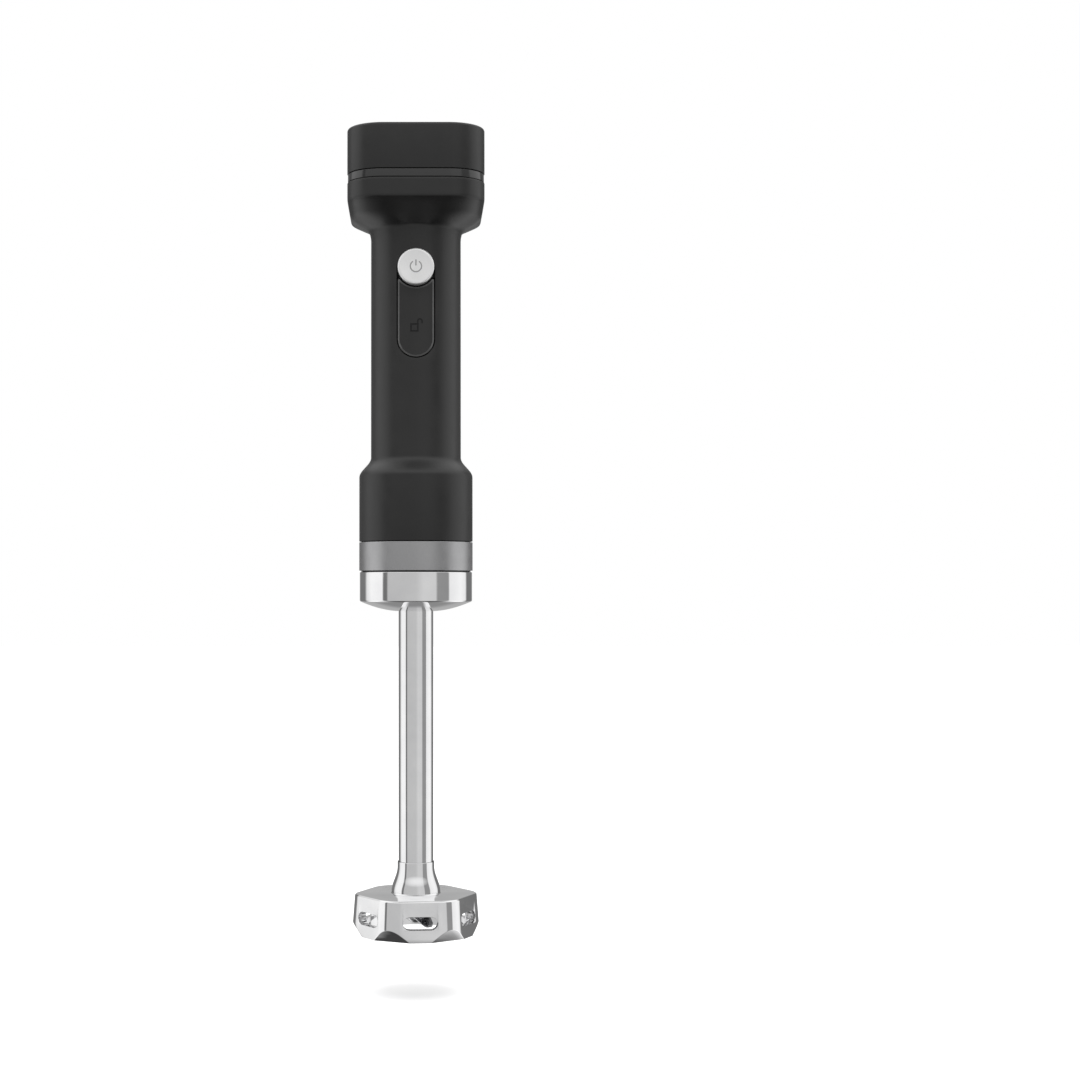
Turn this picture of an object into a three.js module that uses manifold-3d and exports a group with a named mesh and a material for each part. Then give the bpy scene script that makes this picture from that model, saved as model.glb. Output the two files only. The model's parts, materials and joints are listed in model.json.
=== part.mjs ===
// A cordless immersion blender: a motor handle with a battery pack on top and a twist-off blending arm below.
// The axis of the shaft is +Z, the feet of the blade guard are at z = 0, and the buttons face -Y.
import * as THREE from "three";
import { mergeVertices } from "three/addons/utils/BufferGeometryUtils.js";
import Module from "manifold-3d";

const wasm = await Module();
wasm.setup();

// ---------------------------------------------------------------- driving sizes, in millimetres
const GAP = 0.3; // left between pieces that touch
const SIDES = 24; // sides of a large round piece
const FEW_SIDES = 10; // sides of a small one
const DEGREE = Math.PI / 180;

const BODY_RADIUS = 30; // motor housing and band
const HANDLE_RADIUS = 23.8;
const SHAFT_RADIUS = 3;
const MOTOR_SHAFT_RADIUS = 2.5;
const PILOT_RADIUS = 1.55; // the hole that a screw's shank runs in

const guard = {
  apothem: 30.5, footApothem: 30.3, topApothem: 29.6, rimApothem: 28.8, cornerRadius: 12.75,
  turn: 4.5 * DEGREE, widest: 7, edge: 20.3, top: 21.3, neckFoot: 22, neckWaist: 35.3, neckTop: 38, seat: 31.5,
  neckRadius: 12.9, collarRadius: 9.75, cavityRadius: 27, cavityTop: 18,
  slotLength: 18, slotHeight: 6.5, slotMiddle: 10, scoopTop: 6.3, scoopFoot: 29, scoopHalfWidth: 16,
};
const seal = { radius: 6.5, foot: guard.cavityTop, top: guard.neckFoot };
const bushing = { radius: 7.5, lowerTop: guard.seat, upperFoot: 179, upperTop: 190 };
const tube = { radius: 9.15, wall: 0.8, foot: guard.seat + 0.6, top: 175.2 };
const cup = { radius: 29.7, foot: 169.8, brim: 175, side: 176, seam: 190.4, wall: 1.3 };
const DOME = [[16.9, 0.8], [22.9, 2.4], [27, 4.1]]; // the cup's underside: radius and rise above its foot
const spigot = {
  radius: 18.5, hollow: 14, floor: 192, top: 204.5, lugRadius: 21.5, lugFoot: 199.4, lugTop: 203.2,
  notchFoot: 201.2, notchHalfWidth: 2.6,
};
const LUG_ANGLES = [30, 150, 270];
const LUG_HALF_ANGLE = 14;
const SLOT_HALF_ANGLE = 18;
const NOTCH_TURN = 60; // from each lug round to the next notch
const socket = {
  bore: 19, foot: 192.2, ledge: 199, chamber: 22, ceiling: 208.4, top: 211.5, radius: 27.5, hole: 12.3,
  screwY: 24.75, screwLedge: 195, screwLength: 24,
};
const interlock = {
  inner: 13, outer: 18, foot: 205, top: 208, tabFoot: 201.6, tabInner: 15, tabOuter: 17.8, tabHalf: 2.2,
};
const band = { foot: 191.1, top: 206.1, wall: 2.2, lip: 0.8 };
const coupling = {
  dogOuter: 11.3, dogInner: 6.2, hub: 5.5, halfAngle: 20,
  hubFoot: 193.5, hubTop: 202.5, lowerDogFoot: 195, lowerDogTop: 202,
  upperDogFoot: 197.5, discFoot: 204.8, discTop: 211, boreFoot: 206.5,
};

const housing = {
  foot: 206.5, shoulder: 240.4, waist: 250.9, flare: 366, rim: 383.2, top: 392.5, wall: 2.2,
};
const BORE_RADIUS = BODY_RADIUS - housing.wall;
const HEAD = { x: 35.75, y: 40, corner: 19 }; // half sizes and corner of the head that carries the battery
const can = { radius: 21, wall: 1.2, foot: 213.7, top: 272, ribFoot: 234, ribTop: 237 };
const rotor = {
  radius: 15.2, foot: 226, top: 260, teeth: 8, windingRadius: 13.2, windingFoot: 220.5, windingTop: 265.5,
};
const commutator = { radius: 6, foot: 266, top: 272 };
const carbon = { foot: 267.2, top: 271.6, halfWidth: 2.2, inner: 6.4, outer: 15 }; // the motor's two brushes
const endCap = { foot: can.top + GAP, top: 277 };
const BEARING = { radius: 5.7, height: 3.6 };

const opening = { halfWidth: 10.05, foot: 301.4, buttonHeight: 348.6, padInset: 0.7, padHeight: 317.5 };
const BUTTON_RADIUS = 9.2;
const BUTTON_FACE = HANDLE_RADIUS + 3.5; // how far the power button stands in front of the axis
const FLANGE = { front: -17.8, back: -16.3, halfWidth: 11.3, foot: 299.3, top: 335 };
const board = { halfWidth: 17, back: -2.4, front: -4, foot: 296, top: 372 };
const bracket = { front: -10.4, back: -9.2 };
const STEM = { radius: 2.5, end: bracket.front - 0.2 };

const tray = { foot: 387.3, top: 389.6 };
const dockScrew = { y: 31.5, length: 10, pilotFoot: 376.5, bossFoot: 372 };
const connector = { halfX: 9, halfY: 14, foot: 382.2, bladeTop: 392.6 };
const TERMINAL_ROWS = [-8, 0, 8];

const battery = {
  foot: 392.8, bandTop: 396.9, shellFoot: 397.2, top: 420.9, wall: 2.2, inset: 0.3, floor: 1.8,
};
// The raised rim round the pack's top, and the thickness of the top below it.
const RIM = { width: 5.3, depth: 0.8, edge: 1.6, skin: 2.9 };
const cell = { radius: 8.95, length: 65, spacing: 18.4, height: 405.1, front: -33.7 };
const panel = { halfWidth: 19.5, foot: 397.5, top: 413.2, corner: 4 };
const latch = {
  halfWidth: 6, outer: 33, inner: 31.4, foot: 390, top: 400, travel: 2, flangeHalfWidth: 21, flangeTop: 414.5,
};
const packScrew = { x: 14, y: 34.9, length: 12, ledge: 395 };
const terminals = { halfX: 7, halfY: 12.5, foot: 390.2, top: 395.5, slotTop: 394.4, flange: 2 };
const lights = { spots: [-6.6, -2.2, 2.2, 6.6], height: 409.1, radius: 0.5, hole: 0.85, barHalfWidth: 8 };

// ---------------------------------------------------------------- shape helpers, giving closed geometries

// A geometry as a solid that can be joined and cut.
function solid(geometry) {
  const bare = geometry.clone();
  bare.deleteAttribute("normal");
  bare.deleteAttribute("uv");
  const merged = mergeVertices(bare, 1e-4);
  const corners = merged.index.array;
  const kept = [];
  // Triangles that close up on an axis have no area, so they are left out.
  for (let i = 0; i < corners.length; i += 3) {
    const [a, b, c] = [corners[i], corners[i + 1], corners[i + 2]];
    if (a !== b && b !== c && c !== a) kept.push(a, b, c);
  }
  const triVerts = new Uint32Array(kept);
  const vertProperties = merged.attributes.position.array;
  return new wasm.Manifold(new wasm.Mesh({ numProp: 3, vertProperties, triVerts }));
}

function geometryOf(made) {
  const mesh = made.getMesh();
  const geometry = new THREE.BufferGeometry();
  geometry.setAttribute("position", new THREE.BufferAttribute(mesh.vertProperties, 3));
  geometry.setIndex(new THREE.BufferAttribute(mesh.triVerts, 1));
  return geometry;
}

function join(first, ...rest) {
  return geometryOf(rest.reduce((sum, next) => sum.add(solid(next)), solid(first)));
}

function cut(first, ...tools) {
  return geometryOf(tools.reduce((left, tool) => left.subtract(solid(tool)), solid(first)));
}

function common(first, second) {
  return geometryOf(solid(first).intersect(solid(second)));
}

// A profile of [radius, height] points turned about the Z axis; a profile off the axis closes on itself.
function turned(profile, sides = SIDES) {
  const onAxis = profile[0][0] === 0 && profile.at(-1)[0] === 0;
  const loop = onAxis ? profile : [...profile, profile[0]];
  const points = loop.map(([radius, height]) => new THREE.Vector2(radius, height));
  return new THREE.LatheGeometry(points, sides).rotateX(Math.PI / 2);
}

function ring(inner, outer, foot, top, sides = SIDES) {
  return turned([[inner, foot], [outer, foot], [outer, top], [inner, top]], sides);
}

function rod(radius, foot, top, sides = SIDES) {
  return turned([[0, foot], [radius, foot], [radius, top], [0, top]], sides);
}

// The span between two distances from the middle, on the left (side -1) or the right (side 1).
function span(side, near, far) {
  return [Math.min(side * near, side * far), Math.max(side * near, side * far)];
}

// A box given by its span along each axis.
function block([x0, x1], [y0, y1], [z0, z1]) {
  const box = new THREE.BoxGeometry(x1 - x0, y1 - y0, z1 - z0);
  return box.translate((x0 + x1) / 2, (y0 + y1) / 2, (z0 + z1) / 2);
}

// A flat outline, a list of [across, up] points, made into a plate along Z, X or Y.
function plate(points, from, to) {
  const shape = new THREE.Shape(points.map(([across, up]) => new THREE.Vector2(across, up)));
  return new THREE.ExtrudeGeometry(shape, { depth: to - from, bevelEnabled: false }).translate(0, 0, from);
}

function plateAlongX(points, from, to) {
  const turn = new THREE.Matrix4().makeBasis(
    new THREE.Vector3(0, 1, 0), new THREE.Vector3(0, 0, 1), new THREE.Vector3(1, 0, 0));
  return plate(points, from, to).applyMatrix4(turn);
}

// Here the outline is seen from the front, with across to the right and up upwards.
function plateAlongY(points, from, to) {
  return plate(points, -to, -from).rotateX(Math.PI / 2);
}

function rodAlongY(radius, from, to, height, sides = FEW_SIDES) {
  return plateAlongY(arc([0, height], radius, 0, 360 - 360 / sides, sides - 1), from, to);
}

// Points on an arc about a centre, angles in degrees.
function arc([across, up], radius, start, end, steps) {
  return Array.from({ length: steps + 1 }, (_, i) => {
    const angle = (start + ((end - start) * i) / steps) * DEGREE;
    return [across + radius * Math.cos(angle), up + radius * Math.sin(angle)];
  });
}

// A slot outline with round ends: its long side is along the first axis.
function slotOutline(length, width, [across, up], steps = 4) {
  const reach = (length - width) / 2;
  return [
    ...arc([across + reach, up], width / 2, -90, 90, steps),
    ...arc([across - reach, up], width / 2, 90, 270, steps),
  ];
}

// A slice of a ring, between two angles in degrees.
function sector(inner, outer, start, end, foot, top, steps = 3) {
  const outline = [...arc([0, 0], outer, start, end, steps), ...arc([0, 0], inner, end, start, steps)];
  return plate(outline, foot, top);
}

// A rounded rectangle about the axis; equal sizes and corner make a circle.
function rectangle(halfX, halfY, corner, steps = 6) {
  const signs = [[1, 1, 0], [-1, 1, 90], [-1, -1, 180], [1, -1, 270]];
  return signs.flatMap(([x, y, start]) =>
    arc([x * (halfX - corner), y * (halfY - corner)], corner, start, start + 90, steps));
}

// A rounded hexagon with flats facing the front and back; equal apothem and corner make a circle.
function hexagon(apothem, corner, steps = 3) {
  const reach = (apothem - corner) / Math.cos(30 * DEGREE);
  return [0, 60, 120, 180, 240, 300].flatMap((facing) => {
    const centre = [reach * Math.cos(facing * DEGREE), reach * Math.sin(facing * DEGREE)];
    return arc(centre, corner, facing - 30, facing + 30, steps);
  });
}

// A skin through outlines at rising heights, closed at both ends.
function loft(layers) {
  const count = layers[0].outline.length;
  const spots = layers.flatMap(({ outline, height }) => outline.map(([x, y]) => [x, y, height]));
  const triangles = [];
  for (let layer = 0; layer < layers.length - 1; layer++) {
    for (let i = 0; i < count; i++) {
      const [a, b] = [layer * count + i, layer * count + ((i + 1) % count)];
      triangles.push(a, b, b + count, a, b + count, a + count);
    }
  }
  const last = (layers.length - 1) * count;
  for (let i = 1; i < count - 1; i++) {
    triangles.push(0, i + 1, i, last, last + i, last + i + 1);
  }
  const geometry = new THREE.BufferGeometry();
  geometry.setAttribute("position", new THREE.Float32BufferAttribute(spots.flat(), 3));
  geometry.setIndex(triangles);
  return geometry;
}

// A coil spring about the Z axis.
function coil(radius, wire, length, turns) {
  const curve = new THREE.Curve();
  curve.getPoint = (t, target = new THREE.Vector3()) => {
    const angle = t * turns * 2 * Math.PI;
    return target.set(radius * Math.cos(angle), radius * Math.sin(angle), wire + t * (length - 2 * wire));
  };
  return tubeAlong(curve, wire, turns * 8, 4);
}

function tubeAlong(curve, radius, steps, sides) {
  const section = new THREE.Shape(
    arc([0, 0], radius, 0, 360 - 360 / sides, sides - 1).map(([x, y]) => new THREE.Vector2(x, y)));
  return new THREE.ExtrudeGeometry(section, { steps, extrudePath: curve, bevelEnabled: false });
}

// ---------------------------------------------------------------- materials

function finish(color, roughness, metalness = 0) {
  return new THREE.MeshStandardMaterial({ color, roughness, metalness, flatShading: true });
}

const satinBlack = finish(0x232323, 0.55);
const glossBlack = finish(0x2a2a2a, 0.2);
const insideBlack = finish(0x161616, 0.7);
const naturalPlastic = finish(0xc9c4b4, 0.5);
const polishedSteel = finish(0xd8d8da, 0.1, 1);
const brushedBand = finish(0x8d8d90, 0.35, 1);
const silverButton = finish(0xdadada, 0.35, 0.6);
const machinedSteel = finish(0xb8b8bc, 0.3, 1);
const copper = finish(0xb87333, 0.35, 1);
const carbonBlock = finish(0x2b2b2e, 0.8);
const bronze = finish(0xb08d57, 0.4, 1);
const rubber = finish(0x1b1b1b, 0.9);
const boardGreen = finish(0x1f5c3a, 0.5);
const cellWrap = finish(0x2f6fae, 0.4);
const leadRed = finish(0xb02a20, 0.5);
const clearPlastic = finish(0xeeeeee, 0.2);

function piece(name, material, geometry) {
  const mesh = new THREE.Mesh(geometry, material);
  mesh.name = name;
  return mesh;
}

const SCREW = { head: 2.3, headHeight: 1.4, shank: 1.25, well: 2.7 };

// A pan-head screw: its head stands on z = 0 and its shank runs up.
function screw(name, length, x, y, height, pointsDown = false) {
  const profile = [
    [0, 0], [SCREW.head, 0], [SCREW.head, SCREW.headHeight],
    [SCREW.shank, SCREW.headHeight], [SCREW.shank, length], [0, length],
  ];
  const mesh = piece(name, machinedSteel, turned(profile, FEW_SIDES));
  mesh.position.set(x, y, height);
  if (pointsDown) mesh.rotation.x = Math.PI;
  return mesh;
}

// The hole for such a screw, wide for its head up to the head's underside.
function screwHole(x, y, headFoot, headTop, shankTop) {
  const profile = [
    [0, headFoot], [SCREW.well, headFoot], [SCREW.well, headTop],
    [PILOT_RADIUS, headTop], [PILOT_RADIUS, shankTop], [0, shankTop],
  ];
  return turned(profile, FEW_SIDES).translate(x, y, 0);
}

// The height at which a screw's head stands so that it clears the ledge above it.
function headFootBelow(ledge) {
  return ledge - SCREW.headHeight - GAP;
}

// ---------------------------------------------------------------- blending arm

function bladeGuard() {
  const neck = [0, 0.25, 0.5, 0.75, 1].map((t) => {
    const spread = (1 + Math.cos(Math.PI * t)) / 2;
    const radius = guard.collarRadius + (guard.neckRadius - guard.collarRadius) * spread;
    const height = guard.neckFoot + t * (guard.neckWaist - guard.neckFoot);
    return { outline: hexagon(radius, radius), height };
  });
  const body = loft([
    { outline: hexagon(guard.footApothem, guard.cornerRadius), height: 0 },
    { outline: hexagon(guard.apothem, guard.cornerRadius), height: guard.widest },
    { outline: hexagon(guard.topApothem, guard.cornerRadius), height: guard.edge },
    { outline: hexagon(guard.rimApothem, guard.cornerRadius), height: guard.top },
    ...neck,
    { outline: hexagon(guard.collarRadius, guard.collarRadius), height: guard.neckTop },
  ]);
  const tubeBore = tube.radius + GAP;
  const cavity = turned([
    [0, -1], [guard.cavityRadius, -1], [guard.cavityRadius, guard.cavityTop - 4],
    [guard.cavityRadius - 1.5, guard.cavityTop - 1.3], [guard.cavityRadius - 5, guard.cavityTop],
    [seal.radius, guard.cavityTop], [seal.radius, seal.top], [bushing.radius, seal.top],
    [bushing.radius, guard.seat], [tubeBore, guard.seat], [tubeBore, guard.neckTop + 1],
    [0, guard.neckTop + 1],
  ]);
  const cornerReach = (guard.apothem - guard.cornerRadius) / Math.cos(30 * DEGREE) + guard.cornerRadius;
  const slope = Math.atan2(cornerReach - guard.scoopFoot, guard.scoopTop);
  const sides = [0, 1, 2, 3, 4, 5];
  const scoops = sides.map((side) =>
    block([0, 30], [-guard.scoopHalfWidth, guard.scoopHalfWidth], [-12, 30])
      .rotateY(slope).translate(guard.scoopFoot, 0, 0).rotateZ(side * 60 * DEGREE));
  const slots = sides.map((side) =>
    plateAlongX(slotOutline(guard.slotLength, guard.slotHeight, [0, guard.slotMiddle]), 20, 40)
      .rotateZ((side * 60 + 30) * DEGREE));
  return cut(body, cavity, ...scoops, ...slots).rotateZ(guard.turn);
}

function armTube() {
  return ring(tube.radius - tube.wall, tube.radius, tube.foot, tube.top);
}

// The cup over the arm's top, with its domed underside.
function armCup() {
  const hole = tube.radius + GAP;
  const outside = [
    [hole, cup.foot], ...DOME.map(([radius, rise]) => [radius, cup.foot + rise]),
    [cup.radius - 0.4, cup.brim], [cup.radius, cup.side], [cup.radius, cup.seam],
  ];
  const inner = cup.radius - cup.wall;
  const inside = [
    [inner, cup.seam], [inner, cup.side + 0.9], [inner - 1, cup.brim + 0.7],
    ...DOME.slice(0, 2).reverse().map(([radius, rise]) => [radius, cup.foot + rise + cup.wall]),
    [hole, cup.foot + cup.wall],
  ];
  return turned([...outside, ...inside]);
}

// The arm's inner body: a core that fills the cup, a brim over the seam, and a spigot with lugs and notches.
function armHub() {
  const skin = GAP + 0.1;
  const outer = cup.radius - cup.wall - skin;
  const rise = cup.foot + cup.wall + skin;
  const brim = { radius: BODY_RADIUS - band.lip - GAP, foot: cup.seam + 0.15, top: socket.foot - GAP };
  const bore = tube.radius + GAP;
  const shaftRoom = SHAFT_RADIUS + 1.5;
  const core = turned([
    [bore, rise], ...DOME.slice(0, 2).map(([radius, up]) => [radius, rise + up]),
    [outer - 1.4, cup.side + 0.9], [outer, cup.side + 2.5], [outer, brim.foot],
    [brim.radius, brim.foot], [brim.radius, brim.top], [spigot.radius, brim.top],
    [spigot.radius, spigot.top], [spigot.hollow, spigot.top], [spigot.hollow, spigot.floor],
    [bushing.radius, spigot.floor], [bushing.radius, bushing.upperFoot],
    [shaftRoom, bushing.upperFoot], [shaftRoom, tube.top + GAP], [bore, tube.top + GAP],
  ]);
  const lugs = LUG_ANGLES.map((angle) =>
    sector(spigot.radius - 1, spigot.lugRadius, angle - LUG_HALF_ANGLE, angle + LUG_HALF_ANGLE,
      spigot.lugFoot, spigot.lugTop));
  const notches = LUG_ANGLES.map((angle) =>
    block([spigot.hollow - 2, spigot.radius + 2], [-spigot.notchHalfWidth, spigot.notchHalfWidth],
      [spigot.notchFoot, spigot.top + 1]).rotateZ((angle + NOTCH_TURN) * DEGREE));
  return cut(join(core, ...lugs), ...notches);
}

function blendingArm() {
  const shaftHole = SHAFT_RADIUS + GAP;
  const group = new THREE.Group();
  group.add(
    piece("blade_guard", polishedSteel, bladeGuard()),
    piece("arm_tube", polishedSteel, armTube()),
    piece("arm_collar", polishedSteel, armCup()),
    piece("arm_hub", insideBlack, armHub()),
    piece("upper_bushing", bronze,
      ring(shaftHole, bushing.radius - GAP, bushing.upperFoot + GAP, bushing.upperTop)),
    piece("lower_bushing", bronze,
      ring(shaftHole, bushing.radius - GAP, seal.top + GAP, bushing.lowerTop - GAP)),
    piece("shaft_seal", rubber, ring(shaftHole, seal.radius - GAP, seal.foot + 0.4, seal.top - GAP)),
  );
  return group;
}

// ---------------------------------------------------------------- blade and drive shaft

const BLADE = { height: 11.3, thickness: 1.4, hub: 8, root: 5, tip: 23, tilt: 13 * DEGREE, turn: 20 };
const NUT = { foot: 5.6, nose: 3.4, radius: 5.4, boreFoot: 7 };
const SHAFT_TIP = 7.3;

function blade() {
  const half = BLADE.thickness / 2;
  const wing = [[BLADE.root, -5], [BLADE.tip, -2.4], [BLADE.tip - 0.6, 1.2], [BLADE.root, 5]];
  const wings = [0, 1, 2, 3].map((quarter) => {
    const tilt = quarter % 2 ? BLADE.tilt : -BLADE.tilt;
    return plate(wing, -half, half)
      .translate(-BLADE.root, 0, 0).rotateY(tilt).translate(BLADE.root, 0, BLADE.height)
      .rotateZ((quarter * 90 + BLADE.turn) * DEGREE);
  });
  const disc = rod(BLADE.hub, BLADE.height - half, BLADE.height + half, FEW_SIDES);
  return cut(join(disc, ...wings), rod(SHAFT_RADIUS + GAP, 0, BLADE.height * 2, FEW_SIDES));
}

function bladeNut() {
  const top = BLADE.height - BLADE.thickness / 2 - GAP;
  const cap = turned(
    [[0, NUT.foot], [NUT.nose, NUT.foot], [NUT.radius, NUT.boreFoot], [NUT.radius, top], [0, top]], 6);
  return cut(cap, rod(SHAFT_RADIUS + GAP, NUT.boreFoot, top + 1, FEW_SIDES));
}

function driveShaft() {
  const seat = BLADE.height + BLADE.thickness / 2 + GAP;
  const shoulder = 5.2;
  return turned([
    [0, SHAFT_TIP], [SHAFT_RADIUS, SHAFT_TIP], [SHAFT_RADIUS, seat], [shoulder, seat],
    [shoulder, seal.foot - 2], [SHAFT_RADIUS, seal.foot - 1],
    [SHAFT_RADIUS, coupling.lowerDogTop], [0, coupling.lowerDogTop],
  ], FEW_SIDES);
}

// Two dogs on a hub, standing across the pair on the motor's side.
function shaftCoupling() {
  const hub = rod(coupling.hub, coupling.hubFoot, coupling.hubTop, FEW_SIDES);
  const dogs = [90, 270].map((angle) =>
    sector(coupling.hub - 1.2, coupling.dogOuter, angle - coupling.halfAngle, angle + coupling.halfAngle,
      coupling.lowerDogFoot, coupling.lowerDogTop));
  const bore = rod(SHAFT_RADIUS + GAP, coupling.hubFoot - 1, coupling.lowerDogTop + GAP, FEW_SIDES);
  return cut(join(hub, ...dogs), bore);
}

function bladeGroup() {
  const group = new THREE.Group();
  group.add(
    piece("drive_shaft", machinedSteel, driveShaft()),
    piece("shaft_coupling", machinedSteel, shaftCoupling()),
    piece("blade", polishedSteel, blade()),
    piece("blade_nut", polishedSteel, bladeNut()),
  );
  return group;
}

// ---------------------------------------------------------------- arm socket and safety interlock

function armSocket() {
  const body = turned([
    [socket.bore, socket.foot], [socket.radius, socket.foot], [socket.radius, socket.top],
    [socket.hole, socket.top], [socket.hole, socket.ceiling], [socket.chamber, socket.ceiling],
    [socket.chamber, socket.ledge], [socket.bore, socket.ledge],
  ]);
  const slots = LUG_ANGLES.map((angle) =>
    sector(spigot.radius - 1, socket.chamber, angle - SLOT_HALF_ANGLE, angle + SLOT_HALF_ANGLE,
      socket.foot - 1, socket.ledge + 1));
  const holes = [1, -1].map((side) =>
    screwHole(0, side * socket.screwY, socket.foot - 2, socket.screwLedge, socket.top + 2));
  return cut(body, ...slots, ...holes);
}

// The ring that locks the switch until the arm is turned home: its tabs stand in the spigot's notches.
function interlockRing() {
  const flat = ring(interlock.inner, interlock.outer, interlock.foot, interlock.top);
  const tabs = LUG_ANGLES.map((angle) =>
    block([interlock.tabInner, interlock.tabOuter], [-interlock.tabHalf, interlock.tabHalf],
      [interlock.tabFoot, interlock.foot + 1]).rotateZ((angle + NOTCH_TURN) * DEGREE));
  return join(flat, ...tabs);
}

// ---------------------------------------------------------------- motor

function motorCoupling() {
  const disc = rod(coupling.dogOuter + 0.2, coupling.discFoot, coupling.discTop);
  const dogs = [0, 180].map((angle) =>
    sector(coupling.dogInner, coupling.dogOuter, angle - coupling.halfAngle, angle + coupling.halfAngle,
      coupling.upperDogFoot, coupling.discFoot + 1));
  const bore = rod(MOTOR_SHAFT_RADIUS + GAP, coupling.boreFoot, coupling.discTop + 1, FEW_SIDES);
  return cut(join(disc, ...dogs), bore);
}

function motorCan() {
  const inner = can.radius - can.wall;
  const floor = can.foot + 1.5;
  const pocket = BEARING.radius + GAP;
  const shaftRoom = MOTOR_SHAFT_RADIUS + 0.9;
  const pocketTop = floor + BEARING.height + 0.7;
  return turned([
    [shaftRoom, can.foot], [can.radius, can.foot], [can.radius, can.top], [inner, can.top],
    [inner, floor], [pocket + 2, floor], [pocket + 2, pocketTop], [pocket, pocketTop], [pocket, floor],
    [shaftRoom, floor],
  ]);
}

// The brush end of the motor: a disc with the upper bearing's pocket and a box for each brush.
function motorEndCap() {
  const pocket = BEARING.radius + GAP;
  const shaftRoom = MOTOR_SHAFT_RADIUS + 0.8;
  const floor = endCap.foot + 1.1;
  const disc = turned([
    [shaftRoom, endCap.foot], [can.radius, endCap.foot], [can.radius, endCap.top],
    [pocket, endCap.top], [pocket, floor], [shaftRoom, floor],
  ]);
  const wall = 1.3;
  const boxes = [1, -1].map((side) =>
    block(span(side, carbon.inner + 1.2, carbon.outer + 3), [-4, 4], [carbon.foot - wall, endCap.foot + 1]));
  const pockets = [1, -1].map((side) =>
    block(span(side, carbon.inner + 0.6, carbon.outer + 1), [-carbon.halfWidth - GAP, carbon.halfWidth + GAP],
      [carbon.foot - GAP, carbon.top + GAP]));
  return cut(join(disc, ...boxes), ...pockets);
}

function brush(side) {
  return block(span(side, carbon.inner, carbon.outer), [-carbon.halfWidth, carbon.halfWidth],
    [carbon.foot, carbon.top]);
}

function rotorSlots(halfWidth, inner, foot, top) {
  return Array.from({ length: rotor.teeth }, (_, i) =>
    block([inner, rotor.radius + 1], [-halfWidth, halfWidth], [foot, top])
      .rotateZ(((i + 0.5) * 2 * Math.PI) / rotor.teeth));
}

function rotorCore() {
  return cut(ring(MOTOR_SHAFT_RADIUS + GAP, rotor.radius, rotor.foot, rotor.top),
    ...rotorSlots(2.2, 8.5, rotor.foot - 1, rotor.top + 1));
}

// The copper: a ring of wire ends below and above the core, and a bar in each of its slots.
function rotorWinding() {
  const inner = 4;
  const heads = [
    ring(inner, rotor.windingRadius, rotor.windingFoot, rotor.foot - GAP),
    ring(inner, rotor.windingRadius, rotor.top + GAP, rotor.windingTop),
  ];
  const bars = rotorSlots(1.8, 9, rotor.windingFoot + 1, rotor.windingTop - 1)
    .map((bar) => common(bar, rod(rotor.windingRadius, rotor.windingFoot, rotor.windingTop)));
  return join(...heads, ...bars);
}

function magnet(middle) {
  const halfAngle = 65;
  return sector(rotor.radius + 0.7, can.radius - can.wall - 0.4, middle - halfAngle, middle + halfAngle,
    rotor.foot - 2, rotor.top + 2, 8);
}

function motorGroup() {
  const shaftHole = MOTOR_SHAFT_RADIUS + GAP;
  const bearing = (foot) => ring(shaftHole, BEARING.radius, foot, foot + BEARING.height, FEW_SIDES);
  const magnets = ["left", "right"].map((side, i) =>
    piece("magnet_" + side, carbonBlock, magnet(i ? 0 : 180)));
  const brushes = ["left", "right"].map((side, i) =>
    piece("brush_" + side, carbonBlock, brush(i ? 1 : -1)));
  const group = new THREE.Group();
  group.add(
    piece("motor_can", machinedSteel, motorCan()),
    piece("motor_end_cap", naturalPlastic, motorEndCap()),
    piece("motor_isolator", rubber, ring(7, can.radius - 1, socket.top + GAP, can.foot - GAP)),
    piece("motor_bearing_lower", machinedSteel, bearing(can.foot + 1.8)),
    piece("motor_bearing_upper", machinedSteel, bearing(endCap.foot + 1.3)),
    piece("motor_shaft", machinedSteel,
      rod(MOTOR_SHAFT_RADIUS, coupling.boreFoot + GAP, endCap.top + 2, FEW_SIDES)),
    piece("rotor_core", machinedSteel, rotorCore()),
    piece("rotor_winding", copper, rotorWinding()),
    piece("commutator", copper,
      ring(shaftHole, commutator.radius, commutator.foot, commutator.top, FEW_SIDES)),
    piece("motor_coupling", insideBlack, motorCoupling()),
    ...magnets,
    ...brushes,
  );
  return group;
}

// ---------------------------------------------------------------- motor housing and handle

// How far the head has opened from the handle, in shares of the flare's height and of the full width.
const SIDE_FLARE = [
  [0, 0], [0.12, 0.02], [0.27, 0.1], [0.41, 0.43], [0.5, 0.65], [0.58, 0.82], [0.65, 0.895], [0.8, 0.945],
  [1.02, 0.995], [1.1, 1],
];
const FRONT_FLARE = [[0, 0], [0.3, 0], [1, 1]];

function shareAt(points, t) {
  const next = points.findIndex(([place]) => place >= t);
  if (next === -1) return 1;
  if (next === 0) return points[0][1];
  const [[t0, share0], [t1, share1]] = [points[next - 1], points[next]];
  return share0 + ((share1 - share0) * (t - t0)) / (t1 - t0);
}

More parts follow.
